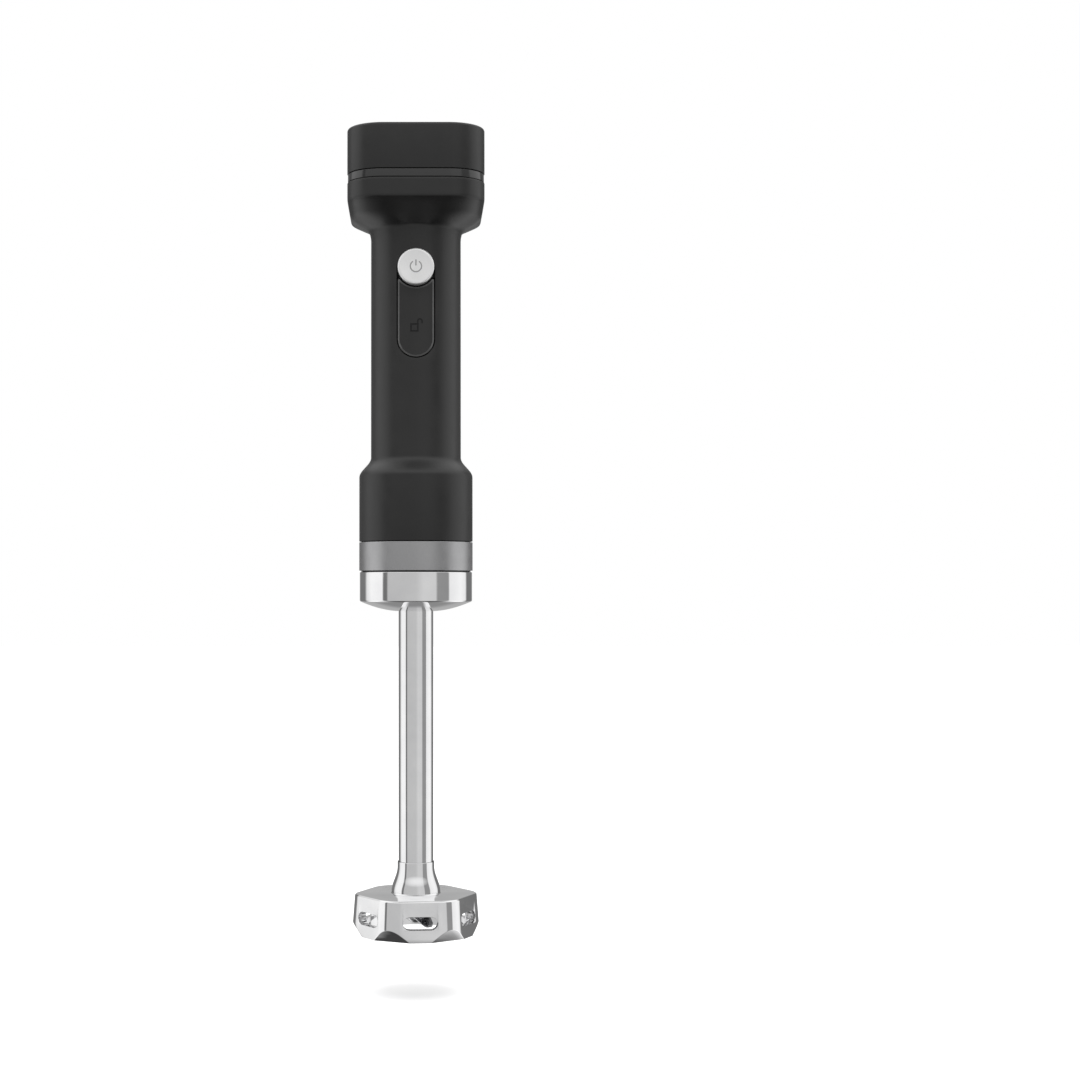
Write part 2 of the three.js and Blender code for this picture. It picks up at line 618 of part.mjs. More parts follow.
// The housing's outline at a height, moved in by an inset. The shoulder is an S-curve, and the handle
// opens into the rounded rectangle of the head: in a shelf at the sides, in a slope at the front and back.
function housingLayer(height, inset, lift = 0) {
  const flare = housing.flare + lift;
  if (height < flare) {
    const t = THREE.MathUtils.clamp((height - housing.shoulder) / (housing.waist - housing.shoulder), 0, 1);
    const blend = (1 + Math.cos(Math.PI * t)) / 2;
    const radius = HANDLE_RADIUS + (BODY_RADIUS - HANDLE_RADIUS) * blend - inset;
    return { outline: rectangle(radius, radius, radius), height };
  }
  const t = (height - flare) / (housing.rim - housing.flare);
  const halfX = HANDLE_RADIUS + (HEAD.x - HANDLE_RADIUS) * shareAt(SIDE_FLARE, t) - inset;
  const halfY = HANDLE_RADIUS + (HEAD.y - HANDLE_RADIUS) * shareAt(FRONT_FLARE, t) - inset;
  const corner = HANDLE_RADIUS + (HEAD.corner - HANDLE_RADIUS) * Math.min(t, 1) - inset;
  return { outline: rectangle(Math.max(halfX, corner), Math.max(halfY, corner), corner), height };
}

function between(from, to, steps) {
  return Array.from({ length: steps + 1 }, (_, i) => from + ((to - from) * i) / steps);
}

function housingShell() {
  const flareLift = 1.6; // the inside starts higher, which keeps the sloping floor of the head thick
  const flareHeights = SIDE_FLARE.map(([t]) => housing.flare + t * (housing.rim - housing.flare));
  const handle = between(housing.shoulder, housing.waist, 4);
  const outer = loft([housing.foot, ...handle, ...flareHeights, housing.top]
    .map((height) => housingLayer(height, 0)));
  const liftedHeights = flareHeights.map((height) => height + flareLift);
  const inner = loft([housing.foot - 1, ...handle, ...liftedHeights, housing.top + 1]
    .map((height) => housingLayer(height, housing.wall, flareLift)));
  const rib = ring(can.radius + 0.5, BORE_RADIUS + 1, can.ribFoot, can.ribTop);
  const bosses = [1, -1].flatMap((side) => [
    rod(3.5, socket.top + 0.5, 226, FEW_SIDES).translate(0, side * socket.screwY, 0),
    rod(3.4, dockScrew.bossFoot, tray.foot - GAP, FEW_SIDES).translate(0, side * dockScrew.y, 0),
  ]);
  const pilots = [1, -1].flatMap((side) => [
    rod(PILOT_RADIUS, socket.top, 221, FEW_SIDES).translate(0, side * socket.screwY, 0),
    rod(PILOT_RADIUS, dockScrew.pilotFoot, tray.top, FEW_SIDES).translate(0, side * dockScrew.y, 0),
  ]);
  const inside = join(rib, ...bosses);
  return cut(join(cut(outer, inner), common(inside, outer)), ...pilots);
}

// The band below the motor housing. Its foot is thinned to a lip round the brim of the arm's inner body.
function collarBand() {
  const inner = BODY_RADIUS - band.wall;
  const lip = BODY_RADIUS - band.lip;
  return turned([
    [lip, band.foot], [BODY_RADIUS, band.foot], [BODY_RADIUS, band.top], [inner, band.top],
    [inner, socket.foot], [lip, socket.foot],
  ]);
}

function buttonOpening() {
  const top = opening.buttonHeight + opening.halfWidth;
  const middle = (opening.foot + top) / 2;
  return uprightSlot(top - opening.foot, opening.halfWidth * 2, middle);
}

// A slot outline standing upright in the front of the handle.
function uprightSlot(length, width, middle) {
  return slotOutline(length, width, [middle, 0], 6).map(([up, across]) => [-across, up]);
}

function housingHalves() {
  const shell = housingShell();
  const far = 60;
  const half = (y0, y1) => common(shell, block([-far, far], [y0, y1], [housing.foot - 1, housing.top + 1]));
  const group = new THREE.Group();
  group.add(
    piece("housing_front", satinBlack, cut(half(-far, -GAP / 2), plateAlongY(buttonOpening(), -HEAD.y, -14))),
    piece("housing_rear", satinBlack, half(GAP / 2, far)),
    piece("collar_band", brushedBand, collarBand()),
    piece("arm_socket", insideBlack, armSocket()),
    piece("interlock_ring", naturalPlastic, interlockRing()),
    screw("socket_screw_front", socket.screwLength, 0, -socket.screwY, headFootBelow(socket.screwLedge)),
    screw("socket_screw_rear", socket.screwLength, 0, socket.screwY, headFootBelow(socket.screwLedge)),
  );
  return group;
}

// ---------------------------------------------------------------- buttons and electronics

const PAD_HORN_DROP = 5; // how far below the button's middle the pad's two horns end

// The pad below the power button, with a flange behind the wall and a stem that reaches its switch.
function unlockButton() {
  const width = (opening.halfWidth - opening.padInset) * 2;
  const foot = opening.foot + opening.padInset;
  const top = opening.buttonHeight + opening.halfWidth;
  const pad = common(
    plateAlongY(uprightSlot(top - foot, width, (foot + top) / 2), -HEAD.y, FLANGE.front - 0.4),
    rod(HANDLE_RADIUS - 0.1, foot - 1, top + 1));
  const room = rodAlongY(BUTTON_RADIUS + 0.8, -HEAD.y, STEM.end, opening.buttonHeight, SIDES);
  const above = block([-HEAD.x, HEAD.x], [-HEAD.y, 0], [opening.buttonHeight - PAD_HORN_DROP, top + 1]);
  const neck = block([-8.5, 8.5], [FLANGE.front - 0.6, FLANGE.back - 0.1], [foot + 2, FLANGE.top]);
  const flange = block([-FLANGE.halfWidth, FLANGE.halfWidth], [FLANGE.front, FLANGE.back],
    [FLANGE.foot, FLANGE.top]);
  const stem = rodAlongY(STEM.radius, FLANGE.back - 1, STEM.end, opening.padHeight);
  return join(cut(pad, room, above), neck, flange, stem);
}

// The round button, with a lip behind the wall that is trimmed where the pad's flange comes up to it.
function powerButton() {
  const disc = rodAlongY(BUTTON_RADIUS, -BUTTON_FACE, FLANGE.back, opening.buttonHeight, SIDES);
  const trim = block([-20, 20], [-HEAD.y, 0], [FLANGE.foot, opening.buttonHeight - 3.2]);
  const lip = cut(rodAlongY(BUTTON_RADIUS + 1.8, FLANGE.front, FLANGE.back, opening.buttonHeight), trim);
  const stem = rodAlongY(STEM.radius, FLANGE.back - 1, STEM.end, opening.buttonHeight);
  return join(disc, lip, stem);
}

function switchBracket() {
  const middle = (opening.buttonHeight + opening.padHeight) / 2 - 4;
  const back = plateAlongY(rectangleAt(12, 32, 3, middle), bracket.front, bracket.back);
  const legs = [-1, 1].flatMap((side) => [middle - 30, middle + 30].map((height) =>
    block([side * 11 - 1, side * 11 + 1], [bracket.back - 0.5, board.front - GAP],
      [height - 1, height + 1])));
  const holes = [opening.padHeight, opening.buttonHeight].map((height) =>
    rodAlongY(STEM.radius + 0.7, bracket.front - 1, bracket.back + 1, height));
  return cut(join(back, ...legs), ...holes);
}

// A rounded rectangle seen from the front, with its middle at a height.
function rectangleAt(halfWidth, halfHeight, corner, height) {
  return rectangle(halfWidth, halfHeight, corner, 3).map(([across, up]) => [across, up + height]);
}

function controlBoard() {
  const middle = (board.top + board.foot) / 2;
  const outline = rectangleAt(board.halfWidth, board.top - middle, 2, middle);
  const flat = plateAlongY(outline, board.front, board.back);
  const root = board.back - 0.5;
  const chip = block([-5, 5], [root, board.back + 1.6], [326, 336]);
  const heatSink = block([-14, -8], [root, board.back + 6], [318, 334]);
  const capacitor = rod(5, 340, 352, FEW_SIDES).translate(8, board.back + 4.8, 0);
  return join(flat, chip, heatSink, capacitor);
}

function switchBody(height) {
  return block([-6, 6], [bracket.back + 0.4, board.front - GAP], [height - 4, height + 4]);
}

function pressSpring(name, height) {
  const length = -(FLANGE.back + GAP) + bracket.front - GAP;
  const mesh = piece(name, machinedSteel, coil(4.2, 0.4, length, 4));
  mesh.rotation.x = -Math.PI / 2;
  mesh.position.set(0, FLANGE.back + GAP, height);
  return mesh;
}

// Two wires side by side, made as one flat lead.
function lead(name, points) {
  const curve = new THREE.CatmullRomCurve3(points.map(([x, y, z]) => new THREE.Vector3(x, y, z)));
  return piece(name, leadRed, tubeAlong(curve, 1.3, 9, 8));
}

function controlGroup() {
  const back = board.back + 1.9;
  const group = new THREE.Group();
  group.add(
    piece("power_button", silverButton, powerButton()),
    piece("unlock_button", satinBlack, unlockButton()),
    piece("switch_bracket", insideBlack, switchBracket()),
    piece("control_board", boardGreen, controlBoard()),
    piece("power_switch", insideBlack, switchBody(opening.buttonHeight)),
    piece("unlock_switch", insideBlack, switchBody(opening.padHeight)),
    pressSpring("power_button_spring", opening.buttonHeight),
    pressSpring("unlock_button_spring", opening.padHeight),
    lead("motor_lead", [[3, back, 310], [3, back + 0.4, 300], [6, 3, 290], [9, 4, 278.5]]),
    lead("battery_lead", [[3, back, 356], [3, back + 0.4, 366], [2, 1.5, 374], [0, 0, connector.foot - GAP]]),
  );
  return group;
}

// ---------------------------------------------------------------- battery dock

function dockTray() {
  const inset = housing.wall + 0.6;
  const floor = plate(rectangle(HEAD.x - inset, HEAD.y - inset, HEAD.corner - inset), tray.foot, tray.top);
  const [wellX, wellY] = [connector.halfX + GAP, connector.halfY + GAP];
  const well = block([-wellX, wellX], [-wellY, wellY], [tray.foot - 1, tray.top + 1]);
  const holes = [1, -1].map((side) =>
    rod(PILOT_RADIUS, tray.foot - 1, tray.top + 1, FEW_SIDES).translate(0, side * dockScrew.y, 0));
  return cut(floor, well, ...holes);
}

// The socket that the pack's foot stands over, with its three upright blades.
function dockConnector() {
  const body = block([-connector.halfX, connector.halfX], [-connector.halfY, connector.halfY],
    [connector.foot, tray.top]);
  const blades = TERMINAL_ROWS.map((y) =>
    block([-2.2, 2.2], [y - 0.5, y + 0.5], [tray.top - 0.5, connector.bladeTop]));
  return join(body, ...blades);
}

function dockGroup() {
  const headTop = tray.top + 0.2 + SCREW.headHeight;
  const group = new THREE.Group();
  group.add(
    piece("dock_tray", insideBlack, dockTray()),
    piece("dock_connector", insideBlack, dockConnector()),
    screw("dock_screw_front", dockScrew.length, 0, -dockScrew.y, headTop, true),
    screw("dock_screw_rear", dockScrew.length, 0, dockScrew.y, headTop, true),
  );
  return group;
}

// ---------------------------------------------------------------- battery pack

function packOutline(inset) {
  return rectangle(HEAD.x - inset, HEAD.y - inset, HEAD.corner - inset);
}

function packShell() {
  const outer = loft([
    { outline: packOutline(0), height: battery.shellFoot },
    { outline: packOutline(0), height: battery.top - RIM.edge },
    { outline: packOutline(RIM.edge * 0.3), height: battery.top - RIM.edge * 0.3 },
    { outline: packOutline(RIM.edge), height: battery.top },
  ]);
  const ceiling = battery.top - RIM.skin;
  const room = plate(packOutline(battery.wall), battery.shellFoot - 1, ceiling);
  const recess = plate(packOutline(RIM.width), battery.top - RIM.depth, battery.top + 1);
  const bosses = [1, -1].map((side) =>
    rod(3.2, battery.shellFoot, ceiling + 1, FEW_SIDES).translate(side * packScrew.x, packScrew.y, 0));
  const pilots = [1, -1].map((side) =>
    rod(PILOT_RADIUS, battery.bandTop - 1, packScrew.ledge + 13, FEW_SIDES)
      .translate(side * packScrew.x, packScrew.y, 0));
  const windows = [1, -1].map((side) =>
    plateAlongX(panelOutline(panel.halfWidth + GAP, battery.shellFoot - 1, panel.top + GAP),
      ...span(side, 30, 38)));
  const holes = lights.spots.map((x) => lightPin(lights.hole, x, HEAD.y - 4, HEAD.y + 1));
  return cut(join(cut(outer, room, recess), ...bosses), ...pilots, ...windows, ...holes);
}

// A panel with round upper corners, seen from the side.
function panelOutline(halfWidth, foot, top) {
  const { corner } = panel;
  return [
    [-halfWidth, foot], [halfWidth, foot],
    ...arc([halfWidth - corner, top - corner], corner, 0, 90, 4),
    ...arc([-halfWidth + corner, top - corner], corner, 90, 180, 4),
  ];
}

function lightPin(radius, x, from, to) {
  const outline = arc([x, lights.height], radius, 0, 315, 7);
  return plateAlongY(outline, from, to);
}

// The bar behind the shell's rear wall that carries light to the four charge lamps.
function lightPipe() {
  const bar = block([-lights.barHalfWidth, lights.barHalfWidth], [35.4, 37.3],
    [lights.height - 0.8, latch.flangeTop]);
  return join(bar, ...lights.spots.map((x) => lightPin(lights.radius, x, 37, HEAD.y - 0.1)));
}

function packBase() {
  const floorTop = battery.foot + battery.floor;
  const below = battery.foot - 1;
  const outer = plate(packOutline(battery.inset), battery.foot, battery.bandTop);
  const room = plate(packOutline(battery.inset + 2), floorTop, battery.bandTop + 1);
  const bosses = [1, -1].map((side) =>
    rod(3.4, floorTop - 0.5, packScrew.ledge + 1.5, FEW_SIDES).translate(side * packScrew.x, packScrew.y, 0));
  const holes = [1, -1].map((side) =>
    screwHole(side * packScrew.x, packScrew.y, below, packScrew.ledge, packScrew.ledge + 3));
  const [footX, footY] = [terminals.halfX + GAP, terminals.halfY + GAP];
  const foot = block([-footX, footX], [-footY, footY], [below, floorTop + 1]);
  const latchSlots = [1, -1].map((side) =>
    block(span(side, latch.inner - latch.travel - 0.5, latch.outer + GAP),
      [-latch.halfWidth - 0.5, latch.halfWidth + 0.5], [below, floorTop + 1]));
  return cut(join(cut(outer, room), ...bosses), ...holes, foot, ...latchSlots);
}

// The foot with the pack's terminals: a slot for each blade of the dock.
function terminalBlock() {
  const { halfX, halfY, flange } = terminals;
  const body = block([-halfX, halfX], [-halfY, halfY], [terminals.foot, terminals.top]);
  const collar = block([-halfX - flange, halfX + flange], [-halfY - flange, halfY + flange],
    [terminals.top - 0.6, terminals.top + GAP]);
  const slots = TERMINAL_ROWS.map((y) =>
    block([-3, 3], [y - 0.9, y + 0.9], [terminals.foot - 1, terminals.slotTop]));
  return cut(join(body, collar), ...slots);
}

// The release button of one side: the panel, a flange behind the shell and the latch's tongue.
function releaseButton(side) {
  const face = HEAD.x - 0.15;
  const front = plateAlongX(panelOutline(panel.halfWidth, panel.foot, panel.top),
    ...span(side, latch.outer - 0.2, face));
  const thickness = span(side, latch.inner, latch.outer);
  const flange = block(thickness, [-latch.flangeHalfWidth, latch.flangeHalfWidth],
    [panel.foot, latch.flangeTop]);
  const tongue = block(thickness, [-latch.halfWidth, latch.halfWidth], [latch.foot, latch.top]);
  return join(front, flange, tongue);
}

function releaseSpring(name, side) {
  const inner = 1.5 * cell.spacing + 0.2;
  const length = latch.inner - GAP - inner;
  const mesh = piece(name, machinedSteel, coil(3, 0.35, length, 3));
  mesh.rotation.y = (side * Math.PI) / 2;
  mesh.position.set(side * inner, 0, cell.height);
  return mesh;
}

function packGroup() {
  const boardFoot = battery.top - RIM.skin - 2.9;
  const screwFoot = headFootBelow(packScrew.ledge);
  const group = new THREE.Group();
  group.add(
    piece("battery_shell", satinBlack, packShell()),
    piece("battery_base", glossBlack, packBase()),
    piece("battery_terminal_block", insideBlack, terminalBlock()),
    piece("battery_board", boardGreen, plate(rectangle(20, 29, 2, 2), boardFoot, boardFoot + 1.4)),
    piece("charge_light_pipe", clearPlastic, lightPipe()),
    piece("release_button_left", satinBlack, releaseButton(-1)),
    piece("release_button_right", satinBlack, releaseButton(1)),
    releaseSpring("release_spring_left", -1),
    releaseSpring("release_spring_right", 1),
    screw("battery_screw_left", packScrew.length, -packScrew.x, packScrew.y, screwFoot),
    screw("battery_screw_right", packScrew.length, packScrew.x, packScrew.y, screwFoot),
  );
  for (const [i, name] of ["battery_cell_left", "battery_cell_middle", "battery_cell_right"].entries()) {
    const body = piece(name, cellWrap, rod(cell.radius, 0, cell.length));
    body.rotation.x = -Math.PI / 2;
    body.position.set((i - 1) * cell.spacing, cell.front, cell.height);
    group.add(body);
  }
  return group;
}

// ---------------------------------------------------------------- the whole blender

const blender = new THREE.Group();
blender.name = "cordless_hand_blender";
blender.add(blendingArm(), bladeGroup(), motorGroup(), housingHalves(), controlGroup(), dockGroup());
blender.add(packGroup());

export default blender;
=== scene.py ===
# The looks of a cordless hand blender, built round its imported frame.
# Lengths are in millimetres until a mesh is made, and in metres for the camera, the lamp and the noise.
import json
import math

import bmesh
import bpy
from mathutils import Matrix, Vector


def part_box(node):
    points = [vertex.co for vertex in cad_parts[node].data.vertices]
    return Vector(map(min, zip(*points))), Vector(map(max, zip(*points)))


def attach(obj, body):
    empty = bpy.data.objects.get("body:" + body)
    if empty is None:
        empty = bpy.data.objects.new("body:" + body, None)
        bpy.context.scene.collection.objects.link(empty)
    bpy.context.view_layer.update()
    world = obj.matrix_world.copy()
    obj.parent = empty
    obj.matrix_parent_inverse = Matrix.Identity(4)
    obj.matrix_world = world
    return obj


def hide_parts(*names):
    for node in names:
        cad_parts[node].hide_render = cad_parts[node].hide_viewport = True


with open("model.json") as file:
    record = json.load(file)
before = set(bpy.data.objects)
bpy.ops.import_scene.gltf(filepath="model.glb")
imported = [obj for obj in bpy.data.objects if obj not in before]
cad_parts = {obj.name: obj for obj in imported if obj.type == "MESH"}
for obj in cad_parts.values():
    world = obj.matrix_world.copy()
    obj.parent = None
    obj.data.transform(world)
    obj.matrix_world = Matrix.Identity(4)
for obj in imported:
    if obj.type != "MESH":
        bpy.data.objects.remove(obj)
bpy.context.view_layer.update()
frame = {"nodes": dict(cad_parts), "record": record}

MM = 0.001
ROUND = 160  # sides of a large turned piece


def low(node):
    """The lowest corner of a CAD node, in millimetres."""
    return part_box(node)[0] / MM


def high(node):
    """The highest corner of a CAD node, in millimetres."""
    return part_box(node)[1] / MM


def heights(node):
    """The foot and the top of a CAD node, in millimetres."""
    return low(node).z, high(node).z


# ------------------------------------------------------------------ sizes, read from the frame
BODY_RADIUS = high("collar_band").x
COLLAR_RADIUS = high("arm_collar").x
TUBE_RADIUS = high("arm_tube").x
SHAFT_RADIUS = high("drive_shaft").x - 2.2
HEAD_X, HEAD_Y = high("battery_shell").x, high("battery_shell").y
HEAD_CORNER = 19.0
HANDLE_RADIUS = 23.8
WALL = 2.2

SHOULDER, WAIST = 240.4, 250.9
FLARE, RIM = 366.0, 383.2
HOUSING_FOOT, HOUSING_TOP = heights("housing_front")

BUTTON_HEIGHT = sum(heights("power_switch")) / 2
BUTTON_RADIUS = 9.5
BUTTON_FACE = -low("power_button").y
OPENING_FOOT, OPENING_WIDTH = 301.4, 10.05
PAD_FOOT, PAD_WIDTH = OPENING_FOOT + 0.7, 9.35
SYMBOL_HEIGHT = sum(heights("unlock_switch")) / 2

GUARD_TURN = 4.5  # degrees
GUARD_APOTHEM, GUARD_CORNER = 30.5, 12.75
NECK_TOP = high("blade_guard").z
LUG_ANGLES = (30, 150, 270)
LUG_FOOT, LUG_TOP = 199.4, 203.2
NOTCH_TURN = 60  # degrees from each lug to its notch
SOCKET_SCREW_Y, DOCK_SCREW_Y = 24.75, 31.5

TERMINAL_ROWS = (-8, 0, 8)
PACK_SCREW_X, PACK_SCREW_Y = 14, 34.9
LATCH_WIDTH = 6
LATCH_SLOT_X, LATCH_POCKET_X = 31.1, 30.6
PANEL_WIDTH, PANEL_FOOT, PANEL_TOP = 19.5, 397.5, 413.2
LIGHTS = (-6.6, -2.2, 2.2, 6.6)
LIGHT_HEIGHT = 409.1
INNER_TOP = 414.4  # of the pieces just inside the pack's wall


# ------------------------------------------------------------------ outlines and profiles
def arc(centre, radius, start, end, steps):
    """Points on an arc, angles in degrees."""
    points = []
    for i in range(steps + 1):
        angle = math.radians(start + (end - start) * i / steps)
        points.append((centre[0] + radius * math.cos(angle), centre[1] + radius * math.sin(angle)))
    return points


def rounded_rectangle(half_x, half_y, corner, steps=24):
    """A rounded rectangle, anticlockwise from the +X side; equal sizes and corner make a circle."""
    points = []
    for x, y, start in ((1, 1, 0), (-1, 1, 90), (-1, -1, 180), (1, -1, 270)):
        points += arc((x * (half_x - corner), y * (half_y - corner)), corner, start, start + 90, steps)
        # A point near each end of the flat keeps the flat's shading flat.
        end = Vector(points[-1])
        along_x = start in (0, 180)
        across = Vector((-2 * x * (half_x - corner), 0) if along_x else (0, -2 * y * (half_y - corner)))
        points += [tuple(end + across * 0.03), tuple(end + across * 0.97)]
    return points


def rounded_hexagon(apothem, corner, steps=12):
    """A hexagon with round corners and a flat facing the front; equal apothem and corner make a circle."""
    reach = (apothem - corner) / math.cos(math.radians(30))
    points = []
    for side in range(6):
        facing = math.radians(side * 60)
        centre = (reach * math.cos(facing), reach * math.sin(facing))
        points += arc(centre, corner, side * 60 - 30, side * 60 + 30, steps)
        # A point near each end of the flat keeps the flat's shading flat.
        end = Vector(points[-1])
        across = Vector((-math.sin(facing + math.pi / 6), math.cos(facing + math.pi / 6))) * reach
        points += [tuple(end + across * 0.05), tuple(end + across * 0.95)]
    return points


def rectangle(left, right, foot, top):
    return [(left, foot), (right, foot), (right, top), (left, top)]


def span(side, near, far):
    """The two ends of a stretch on one side of the middle, the lower one first."""
    return sorted((side * near, side * far))


def slot_outline(length, width, centre=(0, 0), steps=12):
    reach = (length - width) / 2
    right = arc((centre[0] + reach, centre[1]), width / 2, -90, 90, steps)
    left = arc((centre[0] - reach, centre[1]), width / 2, 90, 270, steps)
    return right + left


def corner_round(before, corner, after, radius, steps=6):
    """A corner of a profile, rounded; radius is how far back from it the round starts."""
    a, b, c = Vector(before), Vector(corner), Vector(after)
    start = b + (a - b).normalized() * radius
    end = b + (c - b).normalized() * radius
    points = []
    for i in range(steps + 1):
        t = i / steps
        points.append(tuple((1 - t) ** 2 * start + 2 * t * (1 - t) * b + t ** 2 * end))
    return points


def softened(profile, radius, closed=True, steps=5, keep=()):
    """Rounds every corner of a profile but those at the indexes in keep, and the ends of an open one."""
    count = len(profile)
    points = []
    for i, point in enumerate(profile):
        if i in keep or (not closed and i in (0, count - 1)):
            points.append(tuple(point))
            continue
        before, after = profile[i - 1], profile[(i + 1) % count]
        room = min((Vector(point) - Vector(before)).length, (Vector(point) - Vector(after)).length) * 0.45
        points += corner_round(before, point, after, min(radius, room), steps)
    return points


# ------------------------------------------------------------------ meshes
def make_object(name, vertices, faces, sharp_angle=32):
    """A mesh object from points in millimetres, smooth but for the edges past an angle in degrees."""
    mesh = bpy.data.meshes.new(name)
    mesh.from_pydata([Vector(v) * MM for v in vertices], [], faces)
    obj = bpy.data.objects.new(name, mesh)
    bpy.context.scene.collection.objects.link(obj)
    tidy(obj, sharp_angle)
    return obj


def tidy(obj, sharp_angle=32):
    """Merges doubles, turns the faces out, and shades smooth with sharp edges past an angle."""
    bm = bmesh.new()
    bm.from_mesh(obj.data)
    bmesh.ops.remove_doubles(bm, verts=bm.verts, dist=2e-6)
    bmesh.ops.dissolve_degenerate(bm, edges=bm.edges, dist=1e-6)
    bmesh.ops.recalc_face_normals(bm, faces=bm.faces)
    limit = math.radians(sharp_angle)
    for face in bm.faces:
        face.smooth = True
    for edge in bm.edges:
        edge.smooth = len(edge.link_faces) == 2 and edge.calc_face_angle(0) < limit
    bm.to_mesh(obj.data)
    bm.free()


def loop_faces(count, layers, closed_loop=True, closed_layers=False):
    """Quads over a grid of layers, each of count points."""
    faces = []
    around = count if closed_loop else count - 1
    up = layers if closed_layers else layers - 1
    for layer in range(up):
        above = (layer + 1) % layers
        for i in range(around):
            j = (i + 1) % count
            faces.append((layer * count + i, layer * count + j, above * count + j, above * count + i))
    return faces


def turned(name, profile, sides=ROUND, sharp_angle=32):
    """A (radius, height) profile turned about Z. It starts and ends on the axis, or closes on itself."""
    on_axis = abs(profile[0][0]) < 1e-6 and abs(profile[-1][0]) < 1e-6
    vertices = []
    for radius, height in profile:
        for i in range(sides):
            angle = 2 * math.pi * i / sides
            vertices.append((radius * math.cos(angle), radius * math.sin(angle), height))
    faces = loop_faces(sides, len(profile), closed_layers=not on_axis)
    return make_object(name, vertices, faces, sharp_angle)


def rod(name, radius, foot, top, sides):
    return turned(name, rectangle(0, radius, foot, top), sides)


def lofted(name, layers, sharp_angle=32):
    """A skin through (outline, height) layers, with a flat cap at each end."""
    count = len(layers[0][0])
    vertices = [(x, y, height) for outline, height in layers for x, y in outline]
    faces = loop_faces(count, len(layers))
    faces.append(tuple(reversed(range(count))))
    faces.append(tuple(range((len(layers) - 1) * count, len(layers) * count)))
    return make_object(name, vertices, faces, sharp_angle)


def plate(name, outline, start, end, axis="z", sharp_angle=32):
    """An outline made into a plate along an axis. Along x the outline is (y, z), and along y it is (x, z)."""
    place = {
        "z": lambda a, b, depth: (a, b, depth),
        "x": lambda a, b, depth: (depth, a, b),
        "y": lambda a, b, depth: (a, depth, b),
    }[axis]
    count = len(outline)
    vertices = [place(a, b, depth) for depth in (start, end) for a, b in outline]
    faces = loop_faces(count, 2) + [tuple(reversed(range(count))), tuple(range(count, 2 * count))]
    return make_object(name, vertices, faces, sharp_angle)


def apply_modifier(obj, modifier):
    """Applies a modifier through the evaluated mesh, with no operator."""
    depsgraph = bpy.context.evaluated_depsgraph_get()
    mesh = bpy.data.meshes.new_from_object(obj.evaluated_get(depsgraph))
    obj.modifiers.remove(modifier)
    old = obj.data
    obj.data = mesh
    mesh.name = obj.name
    bpy.data.meshes.remove(old)


def boolean(obj, tool, operation="DIFFERENCE"):
    modifier = obj.modifiers.new("cut", "BOOLEAN")
    modifier.operation = operation
    modifier.solver = "EXACT"
    modifier.object = tool
    apply_modifier(obj, modifier)
    bpy.data.objects.remove(tool)
    return obj


def cut(obj, *tools, sharp_angle=32):
    for tool in tools:
        boolean(obj, tool)
    tidy(obj, sharp_angle)
    return obj


def join(obj, *others, sharp_angle=32):
    for other in others:
        boolean(obj, other, "UNION")
    tidy(obj, sharp_angle)
    return obj


def softer_edges(obj, width, segments=3, angle=40, where=None):
    """Rounds by a width in millimetres the edges past an angle, or those whose two ends pass a test."""
    bm = bmesh.new()
    bm.from_mesh(obj.data)
    limit = math.radians(angle)
    edges = [
        e for e in bm.edges
        if len(e.link_faces) == 2 and e.calc_face_angle(0) > limit
        and (where is None or all(where(v.co / MM) for v in e.verts))
    ]
    bmesh.ops.bevel(bm, geom=edges, offset=width * MM, offset_type="OFFSET", segments=segments, profile=0.5,
                    affect="EDGES", clamp_overlap=True)
    bm.to_mesh(obj.data)
    bm.free()
    tidy(obj)
    return obj


def turn_about_z(obj, degrees):
    obj.data.transform(Matrix.Rotation(math.radians(degrees), 4, "Z"))
    return obj


def tipped(obj, quarters=1):
    """A mesh turned about X by quarter turns."""
    obj.data.transform(Matrix.Rotation(quarters * math.pi / 2, 4, "X"))
    return obj


def moved(obj, x=0, y=0, z=0):
    """A mesh moved by millimetres."""
    obj.data.transform(Matrix.Translation((x * MM, y * MM, z * MM)))
    return obj


def finish_piece(obj, body, material, slot, *nodes):
    """Gives a piece its body and its material, and hides the CAD nodes that it stands for. The slot is not
    used.
    """
    obj.data.materials.clear()
    obj.data.materials.append(material)
    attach(obj, body)
    if nodes:
        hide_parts(*nodes)
    return obj


# ------------------------------------------------------------------ materials
def new_material(name, base, roughness, metallic=0.0, **sockets):
    """A Principled material; sockets are further inputs, named with spaces as underscores."""
    material = bpy.data.materials.new(name)
    material.use_nodes = True
    shader = material.node_tree.nodes["Principled BSDF"]
    shader.inputs["Base Color"].default_value = (*base, 1)
    shader.inputs["Roughness"].default_value = roughness
    shader.inputs["Metallic"].default_value = metallic
    for key, value in sockets.items():
        shader.inputs[key.replace("_", " ")].default_value = value
    return material, material.node_tree, shader


def make_node(tree, kind, inputs, **settings):
    """The outputs of a new shader node. Each input is a plain value or the socket that feeds it."""
    made = tree.nodes.new("ShaderNode" + kind)
    for key, value in settings.items():
        setattr(made, key, value)
    for key, value in inputs.items():
        if isinstance(value, bpy.types.NodeSocket):
            tree.links.new(value, made.inputs[key])
        else:
            made.inputs[key].default_value = value
    return made.outputs


def coordinates(tree, stretch=(1, 1, 1)):
    """The piece's own coordinates in metres, stretched along each axis."""
    place = make_node(tree, "TexCoord", {})["Object"]
    return make_node(tree, "Mapping", {"Vector": place, "Scale": stretch})["Vector"]


def noise(tree, vector, size, detail=3.0, roughness=0.55):
    """Noise whose grain is about size millimetres across."""
    return make_node(tree, "TexNoise", {
        "Vector": vector, "Scale": 1 / (size * MM), "Detail": detail, "Roughness": roughness})["Fac"]


